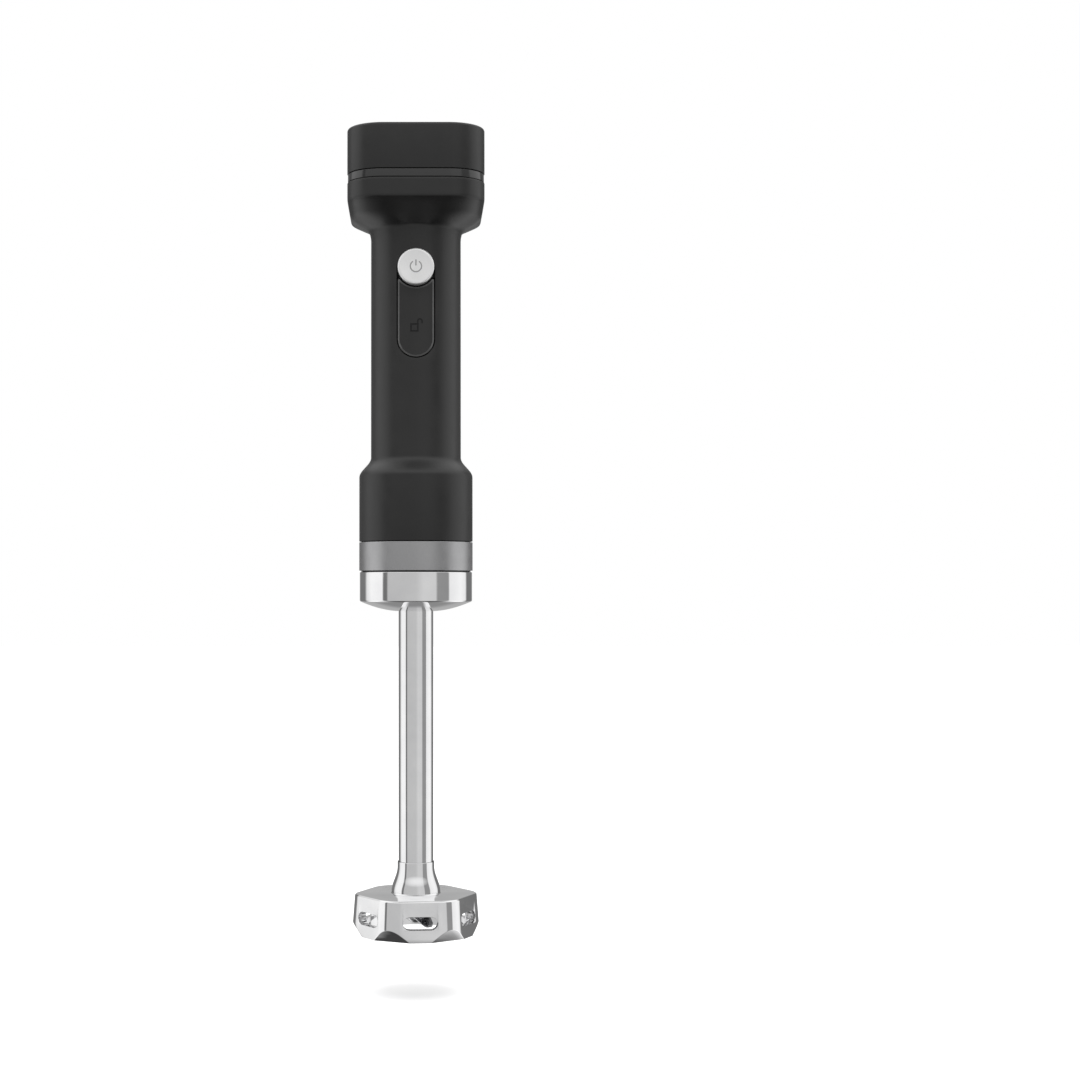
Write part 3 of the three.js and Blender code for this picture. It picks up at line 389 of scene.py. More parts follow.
def remap(tree, value, low_out, high_out, low_in=0.3, high_in=0.7):
    ends = {"From Min": low_in, "From Max": high_in, "To Min": low_out, "To Max": high_out}
    return make_node(tree, "MapRange", {"Value": value, **ends})["Result"]


def mixed(tree, value, first, second):
    """A colour between two, which are colours or sockets."""
    return make_node(tree, "Mix", {"Factor": value, "A": first, "B": second}, data_type="RGBA")["Result"]


def tint(tree, shader, value, first, second):
    """A colour that wanders between two with a noise."""
    colour = mixed(tree, remap(tree, value, 0, 1), (*first, 1), (*second, 1))
    tree.links.new(colour, shader.inputs["Base Color"])


def sheen(tree, shader, value, least, most):
    """A roughness that wanders between two with a noise."""
    tree.links.new(remap(tree, value, least, most), shader.inputs["Roughness"])


def bump(tree, shader, height, strength, distance):
    """Bump of a height map; distance is its depth in millimetres."""
    made = make_node(tree, "Bump", {"Strength": strength, "Distance": distance * MM, "Height": height})
    tree.links.new(made["Normal"], shader.inputs["Normal"])


def around_axis(tree, axis="Z", centre=(0, 0, 0)):
    """Coordinates for lathe marks: the distance from an axis through a centre, and the place along it."""
    place = make_node(tree, "TexCoord", {})["Object"]
    middle = make_node(tree, "VectorMath", {0: place, 1: centre}, operation="SUBTRACT")["Vector"]
    split = make_node(tree, "SeparateXYZ", {"Vector": middle})
    others = {across: split[across] for across in "XYZ".replace(axis, "")}
    flat = make_node(tree, "CombineXYZ", others)["Vector"]
    length = make_node(tree, "VectorMath", {0: flat}, operation="LENGTH")["Value"]
    return make_node(tree, "CombineXYZ", {"X": length, "Z": split[axis]})["Vector"]


def satin_plastic(name, shade, roughness=0.42, grain=0.35, depth=0.012):
    """Moulded plastic with a fine spark-eroded grain and a little unevenness of sheen and colour."""
    material, tree, shader = new_material(name, (shade, shade, shade), roughness, Specular_IOR_Level=0.45)
    vector = coordinates(tree)
    slow = noise(tree, vector, 9, 2)
    sheen(tree, shader, slow, roughness - 0.03, roughness + 0.04)
    tint(tree, shader, slow, (shade * 0.92,) * 3, (shade * 1.08, shade * 1.07, shade * 1.06))
    bump(tree, shader, noise(tree, vector, grain, 4, 0.6), 0.35, depth)
    return material


def gloss_plastic(name, shade):
    """Polished plastic: even, with faint waviness and hairline wear in its gloss."""
    material, tree, shader = new_material(
        name, (shade, shade, shade), 0.14, Coat_Weight=0.4, Coat_Roughness=0.06)
    sheen(tree, shader, noise(tree, coordinates(tree, (1, 1, 14)), 2.2, 5, 0.7), 0.11, 0.2)
    bump(tree, shader, noise(tree, coordinates(tree), 6, 1), 0.15, 0.01)
    return material


def polished_steel(name, lathe=True):
    """Mirror-polished stainless steel, with faint lines from polishing on the lathe and soft smears."""
    material, tree, shader = new_material(name, (0.80, 0.80, 0.805), 0.05, 1.0)
    smear = noise(tree, coordinates(tree), 14, 3)
    sheen(tree, shader, smear, 0.03, 0.075)
    tint(tree, shader, smear, (0.77, 0.77, 0.778), (0.84, 0.84, 0.842))
    lines = around_axis(tree) if lathe else coordinates(tree, (1, 1, 12))
    bump(tree, shader, noise(tree, lines, 0.25, 3), 0.03, 0.002)
    return material


def blasted_steel(name):
    """Steel with a satin, bead-blasted grain."""
    material, tree, shader = new_material(name, (0.40, 0.40, 0.405), 0.36, 1.0)
    vector = coordinates(tree)
    grain = noise(tree, vector, 0.22, 5, 0.7)
    sheen(tree, shader, noise(tree, vector, 5, 3), 0.33, 0.42)
    tint(tree, shader, grain, (0.33, 0.33, 0.335), (0.46, 0.46, 0.465))
    bump(tree, shader, grain, 0.5, 0.01)
    return material


def silver_paint(name):
    """Satin silver of the power button, with a fine fleck and faint rings about the button's middle."""
    material, tree, shader = new_material(name, (0.82, 0.82, 0.82), 0.34, 0.7, Anisotropic=0.75)
    turning = make_node(tree, "Tangent", {}, direction_type="RADIAL", axis="Y")["Tangent"]
    tree.links.new(turning, shader.inputs["Tangent"])
    fleck = noise(tree, coordinates(tree), 0.12, 4, 0.7)
    tint(tree, shader, fleck, (0.82, 0.82, 0.82), (0.94, 0.94, 0.94))
    rings = noise(tree, around_axis(tree, "Y", (0, 0, BUTTON_HEIGHT * MM)), 0.2, 3)
    sheen(tree, shader, rings, 0.28, 0.4)
    bump(tree, shader, rings, 0.25, 0.006)
    return material


def machined_metal(name, base, roughness=0.32):
    """Turned or ground metal with fine rings about its axis."""
    material, tree, shader = new_material(name, base, roughness, 1.0)
    rings = noise(tree, around_axis(tree), 0.18, 4, 0.65)
    tint(tree, shader, rings, [c * 0.85 for c in base], base)
    sheen(tree, shader, rings, roughness - 0.06, roughness + 0.08)
    bump(tree, shader, rings, 0.25, 0.006)
    return material


def speckled(name, base, roughness, size=0.4, spread=0.15, **sockets):
    """A plain inner material with a little grain: rubber, carbon, board, wrap or insulation."""
    material, tree, shader = new_material(name, base, roughness, **sockets)
    grain = noise(tree, coordinates(tree), size, 4, 0.6)
    tint(tree, shader, grain, [c * (1 - spread) for c in base], [min(c * (1 + spread), 1) for c in base])
    sheen(tree, shader, grain, roughness - 0.05, roughness + 0.05)
    bump(tree, shader, grain, 0.3, 0.01)
    return material


SATIN_BLACK = satin_plastic("satin_black", 0.014, 0.37)
PAD_BLACK = satin_plastic("pad_black", 0.0135, 0.34, 0.3, 0.008)
# Painted highlight: the pad's chamfer gets a grey far lighter than the pad's black plastic, standing in for
# the bright line that light makes on it.
PAD_EDGE_PAINTED_HIGHLIGHT = satin_plastic("pad_edge_painted_highlight", 0.09, 0.2, 0.3, 0.004)
GLOSS_BLACK = gloss_plastic("gloss_black", 0.02)
INSIDE_BLACK = satin_plastic("inside_black", 0.012, 0.55, 0.5, 0.02)
NATURAL_PLASTIC = satin_plastic("natural_plastic", 0.55, 0.5, 0.5, 0.02)
POLISHED_STEEL = polished_steel("polished_steel")
GUARD_STEEL = polished_steel("guard_steel", lathe=False)
BAND_STEEL = blasted_steel("band_steel")
SILVER_PAINT = silver_paint("silver_paint")
SYMBOL_GREY = speckled("symbol_grey", (0.30, 0.30, 0.30), 0.5)
SYMBOL_BLACK = speckled("symbol_black", (0.009, 0.009, 0.009), 0.7, Specular_IOR_Level=0.3)
RUBBER = speckled("seal_rubber", (0.02, 0.02, 0.021), 0.7)
BLADE_STEEL = machined_metal("blade_steel", (0.62, 0.62, 0.63), 0.2)
SCREW_STEEL = machined_metal("screw_steel", (0.42, 0.42, 0.44), 0.28)
BRONZE = machined_metal("contact_bronze", (0.60, 0.42, 0.18), 0.3)
LENS_SMOKE = speckled("lens_smoke", (0.012, 0.012, 0.012), 0.15, Coat_Weight=0.5)

SLOT_MATERIALS = {
    "satin_black": SATIN_BLACK,
    "gloss_black": GLOSS_BLACK,
    "inside_black": INSIDE_BLACK,
    "natural_plastic": NATURAL_PLASTIC,
    "polished_steel": POLISHED_STEEL,
    "band_steel": BAND_STEEL,
    "silver_button": SILVER_PAINT,
    "machined_steel": machined_metal("machined_steel", (0.50, 0.50, 0.52)),
    "copper": machined_metal("copper", (0.72, 0.35, 0.16), 0.3),
    "carbon": speckled("carbon", (0.02, 0.02, 0.022), 0.6),
    "bronze": machined_metal("bronze", (0.50, 0.32, 0.13), 0.4),
    "rubber": speckled("rubber", (0.015, 0.015, 0.015), 0.75),
    "board_green": speckled("board_green", (0.02, 0.13, 0.05), 0.35),
    "cell_wrap": speckled("cell_wrap", (0.03, 0.14, 0.4), 0.3, 3),
    "lead_red": speckled("lead_red", (0.45, 0.03, 0.02), 0.45),
    "clear_plastic": speckled("clear_plastic", (0.7, 0.7, 0.7), 0.2),
}


def finish_cad_nodes():
    """Every CAD node that still shows, or hides inside, takes its slot's material."""
    slots = {row["node"]: row["material_slot"] for row in frame["record"]["subparts"]}
    for node, obj in frame["nodes"].items():
        obj.data.materials.clear()
        obj.data.materials.append(SLOT_MATERIALS[slots[node]])


# ------------------------------------------------------------------ blending arm
def blade_guard():
    """The hexagonal guard: a drafted body, a rounded brim and a flared neck, with slots and corner scoops."""
    edge, top, neck_foot, neck_waist = 20.2, 21.3, 21.7, 35.3
    neck_radius, neck_spread, shoulder = 9.7, 3.2, 29.6
    neck_wide, rounding = neck_radius + neck_spread, top - edge
    slot_length, slot_width, slot_height = 18, 6.5, 10
    brim = [(shoulder - rounding * (1 - math.cos(t)), edge + rounding * math.sin(t))
            for t in (math.pi / 2 * i / 5 for i in range(1, 6))]
    neck_profile = [(neck_wide + 0.75, neck_foot - 0.25), (neck_wide + 0.25, neck_foot)]
    for i in range(17):
        t = i / 16
        radius = neck_radius + neck_spread * (1 + math.cos(math.pi * t)) / 2
        neck_profile.append((radius, neck_foot + 0.35 + t * (neck_waist - neck_foot - 0.35)))
    layers = [
        (rounded_hexagon(GUARD_APOTHEM - 0.2, GUARD_CORNER), 0),
        (rounded_hexagon(GUARD_APOTHEM, GUARD_CORNER), 6.6),
        (rounded_hexagon(shoulder + 0.05, GUARD_CORNER), edge - 0.8),
        (rounded_hexagon(shoulder, GUARD_CORNER), edge),
    ]
    for apothem, height in brim:
        layers.append((rounded_hexagon(apothem, GUARD_CORNER - (shoulder - apothem)), height))
    layers += [(rounded_hexagon(radius, radius), height) for radius, height in neck_profile]
    layers += [
        (rounded_hexagon(neck_radius, neck_radius), NECK_TOP - 0.15),
        (rounded_hexagon(neck_radius - 0.1, neck_radius - 0.1), NECK_TOP),
    ]
    body = lofted("blade_guard_steel", layers, sharp_angle=28)
    cavity = turned("cavity", [
        (0, -5), (27, -5), (27, 14), (26.6, 15.5), (25.5, 16.8), (23.8, 17.7), (22, 18), (6.5, 18),
        (6.5, 22.2), (7.5, 22.2), (7.5, 31.5), (9.45, 31.5), (9.45, 45), (0, 45),
    ], 120)
    reach = (GUARD_APOTHEM - GUARD_CORNER) / math.cos(math.radians(30)) + GUARD_CORNER
    foot, scoop_top = 29.0, 6.4
    slope = math.atan2(reach - foot, scoop_top)
    tools = [cavity]
    for side in range(6):
        scoop = plate("scoop", rectangle(-16, 16, -12, 30), 0, 30, "x")
        turn = Matrix.Rotation(math.radians(side * 60), 4, "Z") @ Matrix.Translation((foot * MM, 0, 0))
        scoop.data.transform(turn @ Matrix.Rotation(slope, 4, "Y"))
        tools.append(scoop)
        slot = plate("slot", slot_outline(slot_length, slot_width, (0, slot_height)), 20, 40, "x")
        tools.append(turn_about_z(slot, side * 60 + 30))
    cut(body, *tools, sharp_angle=26)
    outside = 27.6
    softer_edges(body, 0.28, 3, 24, where=lambda p: math.hypot(p.x, p.y) > outside and p.z < edge - 2)
    turn_about_z(body, GUARD_TURN)
    return finish_piece(body, "arm", GUARD_STEEL, "polished_steel", "blade_guard")


def arm_tube():
    inner = TUBE_RADIUS - 0.8
    tube = turned("arm_tube_steel", softened(rectangle(inner, TUBE_RADIUS, *heights("arm_tube")), 0.2))
    return finish_piece(tube, "arm", POLISHED_STEEL, "polished_steel", "arm_tube")


def arm_collar():
    """The polished cup at the top of the arm, with a domed underside and a small round at its brim."""
    foot, seam = heights("arm_collar")
    hole, dome_edge, brim = TUBE_RADIUS + 0.12, COLLAR_RADIUS - 0.9, 0.9
    dome = []
    for i in range(18):
        t = i / 17
        dome.append((hole + (dome_edge - hole) * t, foot + 4.8 * t ** 1.75))
    bend = arc((COLLAR_RADIUS - brim, foot + 5.8), brim, -70, 0, 8)
    lip = arc((COLLAR_RADIUS - 0.45, seam - 0.45), 0.45, 0, 90, 5)
    inner = COLLAR_RADIUS - 1.3
    inside = [(inner, seam), (inner, foot + 8), (inner - 1.2, foot + 6.4), (22, foot + 4), (hole, foot + 1.3)]
    collar = turned("arm_collar_steel", dome + bend + lip + inside, 200)
    return finish_piece(collar, "arm", POLISHED_STEEL, "polished_steel", "arm_collar")


def arm_hub():
    """The black inner body of the arm's top: a brim over the collar's rim and a spigot with three lugs."""
    spigot, hollow, top, floor = 18.5, 14.0, high("arm_hub").z, 192.0
    dome, bore, wide, shaft_room = low("arm_collar").z, 7.5, COLLAR_RADIUS - 1.6, SHAFT_RADIUS + 1.5
    bushing_foot, tube_end = low("upper_bushing").z - 0.3, high("arm_tube").z + 0.3
    brim, brim_foot, brim_top = BODY_RADIUS - 1.1, high("arm_collar").z + 0.15, low("arm_socket").z - 0.3
    core = turned("arm_hub_moulding", [
        (TUBE_RADIUS + 0.3, dome + 1.7), (17, dome + 2.9), (23, dome + 4.6), (26.6, dome + 6.6),
        (27.7, dome + 8.4), (wide, dome + 10.4), (wide, brim_foot), (brim, brim_foot), (brim, brim_top - 0.3),
        (brim - 0.3, brim_top), (spigot + 0.5, brim_top), (spigot, brim_top + 0.5),
        (spigot, top - 0.5), (spigot - 0.5, top), (hollow + 0.4, top), (hollow, top - 0.4), (hollow, floor),
        (bore, floor), (bore, bushing_foot), (shaft_room, bushing_foot), (shaft_room, tube_end),
        (TUBE_RADIUS + 0.3, tube_end),
    ])
    join(core, *[sector("lug", spigot - 1, 21.5, a - 14, a + 14, LUG_FOOT, LUG_TOP) for a in LUG_ANGLES])
    notch = rectangle(-2.6, 2.6, 201.2, top + 1)
    cut(core, *[turn_about_z(plate("notch", notch, 12, 20.5, "x"), a + NOTCH_TURN) for a in LUG_ANGLES])
    softer_edges(core, 0.3, 2, 50, where=lambda p: p.z > brim_top + 1)
    return finish_piece(core, "arm", INSIDE_BLACK, "inside_black", "arm_hub")


def shaft_seal():
    foot, top = heights("shaft_seal")
    hole, outer = SHAFT_RADIUS + 0.15, high("shaft_seal").x
    profile = softened(
        [(hole, foot + 1.2), (hole + 1.0, foot), (outer, foot), (outer, top), (hole, top)], 0.4)
    return finish_piece(turned("shaft_seal_rubber", profile, 64), "arm", RUBBER, "rubber", "shaft_seal")


# ------------------------------------------------------------------ blade and drive shaft
def blade():
    """Four sharpened wings on a disc, bent up and down in turn."""
    middle, thickness, root, tip, tilt = 11.3, 1.4, 5.0, 23.0, math.radians(13)
    first_turn, bevel_width, bevel_depth = 20, 1.5, 0.9
    foot, top, hole = middle - thickness / 2, middle + thickness / 2, SHAFT_RADIUS + 0.15
    wing = softened([
        (root - 1, -5), (tip - 2, -3.2), (tip, -2.4), (tip - 0.6, 1.2), (tip - 3, 2.2), (root - 1, 5)],
        1.2, keep=(0, 5))
    disc = turned("blade_steel", softened(rectangle(hole, 8, foot, top), 0.2), 96)
    wings = []
    for quarter in range(4):
        flat = plate("wing", wing, -thickness / 2, thickness / 2)
        # The leading edge is ground to a bevel.
        for vertex in flat.data.vertices:
            if vertex.co.y < -bevel_width * MM and vertex.co.z > 0:
                vertex.co.z -= bevel_depth * MM
        bend = Matrix.Rotation(tilt if quarter % 2 else -tilt, 4, "Y")
        out, back = Matrix.Translation((root * MM, 0, middle * MM)), Matrix.Translation((-root * MM, 0, 0))
        turn = Matrix.Rotation(math.radians(quarter * 90 + first_turn), 4, "Z")
        flat.data.transform(turn @ (out @ bend @ back))
        wings.append(flat)
    join(disc, *wings)
    cut(disc, rod("hole", hole, 5, 17, 48))
    softer_edges(disc, 0.12, 2, 40)
    return finish_piece(disc, "blade", BLADE_STEEL, "polished_steel", "blade")


def blade_nut():
    foot, top = heights("blade_nut")
    reach = 5.4 / math.cos(math.pi / 6)
    dome = [(0, foot), (1.6, foot + 0.12), (2.8, foot + 0.5), (3.7, foot + 1.1), (4.6, foot + 1.9)]
    cap = turned("blade_nut_steel", dome + [(6.2, foot + 2.9), (6.2, top), (0, top)], 64)
    hexagon = [(reach * math.cos(a), reach * math.sin(a)) for a in (math.pi / 3 * i for i in range(6))]
    boolean(cap, plate("hex", hexagon, foot - 1, top + 1), "INTERSECT")
    cut(cap, rod("hole", SHAFT_RADIUS + 0.15, foot + 1.6, top + 1, 48))
    softer_edges(cap, 0.15, 2, 35)
    return finish_piece(cap, "blade", BLADE_STEEL, "polished_steel", "blade_nut")


def drive_shaft():
    foot, top = heights("drive_shaft")
    seat, seal = 12.3, 18.0
    shaft = turned("drive_shaft_steel", [
        (0, foot), (SHAFT_RADIUS - 0.4, foot), (SHAFT_RADIUS, foot + 0.4), (SHAFT_RADIUS, seat), (4.9, seat),
        (5.2, seat + 0.3), (5.2, seal - 2), (SHAFT_RADIUS, seal - 1), (SHAFT_RADIUS, top - 0.4),
        (SHAFT_RADIUS - 0.4, top), (0, top)], 64)
    return finish_piece(shaft, "blade", SLOT_MATERIALS["machined_steel"], "machined_steel", "drive_shaft")


def coupling(name, body, node, hub, dog_inner, dog_outer, dog_span, angles, material, slot):
    """A coupling half: a hub or a disc with two dogs."""
    half = turned(name, softened(hub, 0.4, keep=(0, len(hub) - 1)), 96)
    join(half, *[sector("dog", dog_inner, dog_outer, a - 20, a + 20, *dog_span) for a in angles])
    softer_edges(half, 0.3, 2, 50)
    return finish_piece(half, body, material, slot, node)


def sector(name, inner, outer, start, end, foot, top):
    """A slice of a ring between two angles in degrees."""
    outline = arc((0, 0), outer, start, end, 14) + arc((0, 0), inner, end, start, 14)
    return plate(name, outline, foot, top)


# ------------------------------------------------------------------ socket of the motor body
def collar_band():
    foot, top = heights("collar_band")
    inner, lip, step = BODY_RADIUS - 2.2, BODY_RADIUS - 0.8, low("arm_socket").z
    profile = softened([
        (lip, foot), (BODY_RADIUS, foot), (BODY_RADIUS, top), (inner, top), (inner, step), (lip, step)], 0.25)
    band = turned("collar_band_steel", profile, 200)
    return finish_piece(band, "motor_body", BAND_STEEL, "band_steel", "collar_band")


def arm_socket():
    foot, top, wide = *heights("arm_socket"), high("arm_socket").x
    bore, ledge, chamber, ceiling, hole, screw_ledge = 19.0, 199.0, 22.0, 208.4, 12.3, 195
    socket = turned("arm_socket_moulding", [
        (bore, foot + 0.6), (bore + 0.6, foot), (wide - 0.4, foot), (wide, foot + 0.4), (wide, top),
        (hole, top), (hole, ceiling + 0.4), (hole + 0.4, ceiling), (chamber, ceiling), (chamber, ledge),
        (bore, ledge)])
    slots = [sector("slot", 17.5, chamber, a - 18, a + 18, foot - 1, ledge + 1) for a in LUG_ANGLES]
    well = [
        (0, foot - 2), (2.75, foot - 2), (2.75, screw_ledge), (1.6, screw_ledge), (1.6, top + 2),
        (0, top + 2)]
    wells = [moved(turned("well", well, 40), y=side * SOCKET_SCREW_Y) for side in (-1, 1)]
    cut(socket, *slots, *wells)
    softer_edges(socket, 0.25, 2, 55, where=lambda p: p.z < foot + 0.7)
    return finish_piece(socket, "motor_body", INSIDE_BLACK, "inside_black", "arm_socket")


def interlock_ring():
    foot, top = 205, 208
    ring = turned("interlock_ring_moulding", softened(rectangle(13, 18, foot, top), 0.3), 120)
    tab = rectangle(-2.2, 2.2, 201.6, foot + 1)
    join(ring, *[turn_about_z(plate("tab", tab, 15, 17.8, "x"), angle + NOTCH_TURN) for angle in LUG_ANGLES])
    softer_edges(ring, 0.25, 2, 50, where=lambda p: p.z < foot - 0.1)
    return finish_piece(ring, "interlock", NATURAL_PLASTIC, "natural_plastic", "interlock_ring")


def cross_screw(node, body, x, y, points_down=False):
    """A pan-head screw with a cross recess, in place of a CAD one."""
    foot, top = heights(node)
    length = top - foot
    thread = []
    height, pitch = 1.9, 0.9
    while height + pitch < length - 0.8:
        thread += [(1.0, height), (1.25, height + pitch * 0.4), (1.0, height + pitch * 0.8)]
        height += pitch
    screw = turned(node + "_steel", [
        (0, 0), (1.5, 0.06), (2.0, 0.3), (2.25, 0.75), (2.3, 1.2), (2.3, 1.4), (1.25, 1.4), (1.1, 1.7),
        *thread, (1.0, length - 0.7), (0.5, length), (0, length)], 40)
    reach, half = 1.25, 0.32
    for a, b in ((reach, half), (half, reach)):
        boolean(screw, plate("cross", rectangle(-a, a, -b, b), -1, 0.9))
    tidy(screw)
    if points_down:
        tipped(screw, 2)
    moved(screw, x, y, top if points_down else foot)
    return finish_piece(screw, body, SCREW_STEEL, "machined_steel", node)


# ------------------------------------------------------------------ housing
def housing_outline(height, inset, lift=0.0, steps=24):
    """The housing's outline at a height: an S-shaped shoulder, then a flare into the rounded head."""
    if height <= FLARE + lift:
        t = min(max((height - SHOULDER) / (WAIST - SHOULDER), 0), 1)
        radius = HANDLE_RADIUS + (BODY_RADIUS - HANDLE_RADIUS) * (1 + math.cos(math.pi * t)) / 2 - inset
        return rounded_rectangle(radius, radius, radius, steps)
    t = (height - FLARE - lift) / (RIM - FLARE)
    half_x = HANDLE_RADIUS + (HEAD_X - HANDLE_RADIUS) * share_at(SIDE_FLARE, t) - inset
    half_y = HANDLE_RADIUS + (HEAD_Y - HANDLE_RADIUS) * share_at(FRONT_FLARE, t) - inset
    corner = HANDLE_RADIUS + (HEAD_CORNER - HANDLE_RADIUS) * min(t, 1) - inset
    return rounded_rectangle(max(half_x, corner), max(half_y, corner), corner, steps)


# How far the head has opened, as (share of the flare's height, share of the full width). Its sides open in a
# hollow and a shelf with a slight draft above it, and its front and back in a nearly straight slope.
SIDE_FLARE = [
    (0, 0), (0.12, 0.02), (0.27, 0.1), (0.41, 0.43), (0.5, 0.65), (0.58, 0.82), (0.65, 0.895), (0.8, 0.945),
    (1.02, 0.995), (1.1, 1),
]
FRONT_FLARE = [(0, 0), (0.28, 0), (0.36, 0.06), (0.66, 0.5), (0.95, 0.955), (1.02, 0.995), (1.1, 1)]


def share_at(points, t):
    """A smooth curve through a list of points, held at its last value beyond its end."""
    if t >= points[-1][0]:
        return points[-1][1]
    after = next(i for i, point in enumerate(points) if point[0] > t)
    first, last = max(after - 2, 0), min(after + 1, len(points) - 1)
    (t0, a), (t1, b), (t2, c), (t3, d) = (points[i] for i in (first, after - 1, after, last))
    step = t2 - t1
    leaving = (c - a) / (t2 - t0) * step
    arriving = (d - b) / (t3 - t1) * step
    u = (t - t1) / step
    blend = 3 * u ** 2 - 2 * u ** 3
    return b + (c - b) * blend + leaving * u * (1 - u) ** 2 - arriving * u ** 2 * (1 - u)


def housing_half(name, side, opening=None):
    """One half of the clamshell, side -1 for the front and 1 for the rear, with a fine parting line."""
    line, edge = 0.07, 0.3
    levels = [HOUSING_FOOT, HOUSING_FOOT + edge * 0.3, HOUSING_FOOT + edge]
    levels += [SHOULDER + (WAIST - SHOULDER) * i / 14 for i in range(15)]
    levels += [300, 330, 355]
    levels += [FLARE + (RIM - FLARE) * 1.24 * i / 48 for i in range(49)]
    levels += [HOUSING_TOP - edge - 1, HOUSING_TOP - edge, HOUSING_TOP - edge * 0.3, HOUSING_TOP]
    layers = []
    for height in levels:
        from_end = min(height - HOUSING_FOOT, HOUSING_TOP - height)
        ease = max(edge - from_end, 0)
        rounding = edge - math.sqrt(max(edge ** 2 - ease ** 2, 0))
        outer = half_outline(housing_outline(height, rounding), side, line)
        inner = half_outline(housing_outline(height, WALL, 1.2), side, line)
        layers.append((outer + list(reversed(inner)), height))
    half = lofted(name, layers)
    if opening:
        cut(half, opening)
        softer_edges(half, 0.3, 3, 40, where=lambda p: p.y < -15 and abs(p.x) < 10.5 and 300 < p.z < 361)
    node = "housing_front" if side < 0 else "housing_rear"
    return finish_piece(half, "motor_body", SATIN_BLACK, "satin_black", node)


def half_outline(points, side, line):
    """The part of an outline on one side of the parting line, from left to right with its ends on it."""
    half = len(points) // 2
    kept = points[half - 1:-1] if side < 0 else list(reversed(points[-1:] + points[:half - 1]))
    kept = [(x, side * max(y * side, line)) for x, y in kept]
    reach = max(x for x, y in points)
    return [(-reach, side * line), *kept, (reach, side * line)]


def upright_slot(name, half_width, foot, top, start, end, steps=24):
    """A slot with round ends standing upright in the front of the handle."""
    outline = slot_outline(top - foot, half_width * 2, ((foot + top) / 2, 0), steps)
    return plate(name, [(-across, up) for up, across in outline], start, end, "y")


def button_opening():
    return upright_slot("opening", OPENING_WIDTH, OPENING_FOOT, BUTTON_HEIGHT + OPENING_WIDTH, -60, -14)


# ------------------------------------------------------------------ buttons
def power_button():
    """The round silver button, dished with a rounded edge, on a black carrier with its lip and stem."""
    depth, lip, skirt = -high("power_button").y, 16.3, 22.0
    face, r = BUTTON_FACE, BUTTON_RADIUS
    profile = [(0, face - 0.3), (r - 4, face - 0.24), (r - 1.8, face - 0.05), (r - 1.2, face)]
    profile += arc((r - 1, face - 1), 1, 90, 0, 10)
    profile += [(r, skirt), (0, skirt)]
    cap = turned("power_button_cap", profile, 128)
    inner, stem = r - 0.35, 2.5
    carrier = turned("power_button_carrier", [
        (0, skirt - 0.05), (inner, skirt - 0.05), (inner, lip + 1.5), (r + 1.3, lip + 1.5), (r + 1.3, lip),
        (stem, lip), (stem, depth), (0, depth)], 96)
    for obj in (cap, carrier):
        moved(tipped(obj), z=BUTTON_HEIGHT)
    # The lip is cut away where the horns of the pad below it move.
    below = rectangle(-12, 12, BUTTON_HEIGHT - 20, BUTTON_HEIGHT - 5)
    cut(carrier, plate("trim", below, -skirt + 2, -10, "y"))
    finish_piece(carrier, "power_button", INSIDE_BLACK, "satin_black")
    return finish_piece(cap, "power_button", SILVER_PAINT, "silver_button", "power_button")


def power_symbol():
    """A ring open at the top with a bar standing in the gap, printed on the button."""
    radius, line, gap = 2.9, 0.3, 32
    outline = arc((0, 0), radius + line, 90 + gap, 450 - gap, 60)
    outline += arc((0, 0), radius - line, 450 - gap, 90 + gap, 60)
    front, back = -BUTTON_FACE + 0.17, -BUTTON_FACE + 0.4
    ring = plate("power_symbol", [(x, z + BUTTON_HEIGHT) for x, z in outline], front, back, "y")
    bar = [(-across, up + BUTTON_HEIGHT) for up, across in slot_outline(3.2, line * 2, (1.9, 0))]
    bar = plate("bar", bar, front, back, "y")
    join(ring, bar)
    return finish_piece(ring, "power_button", SYMBOL_GREY, "silver_button")


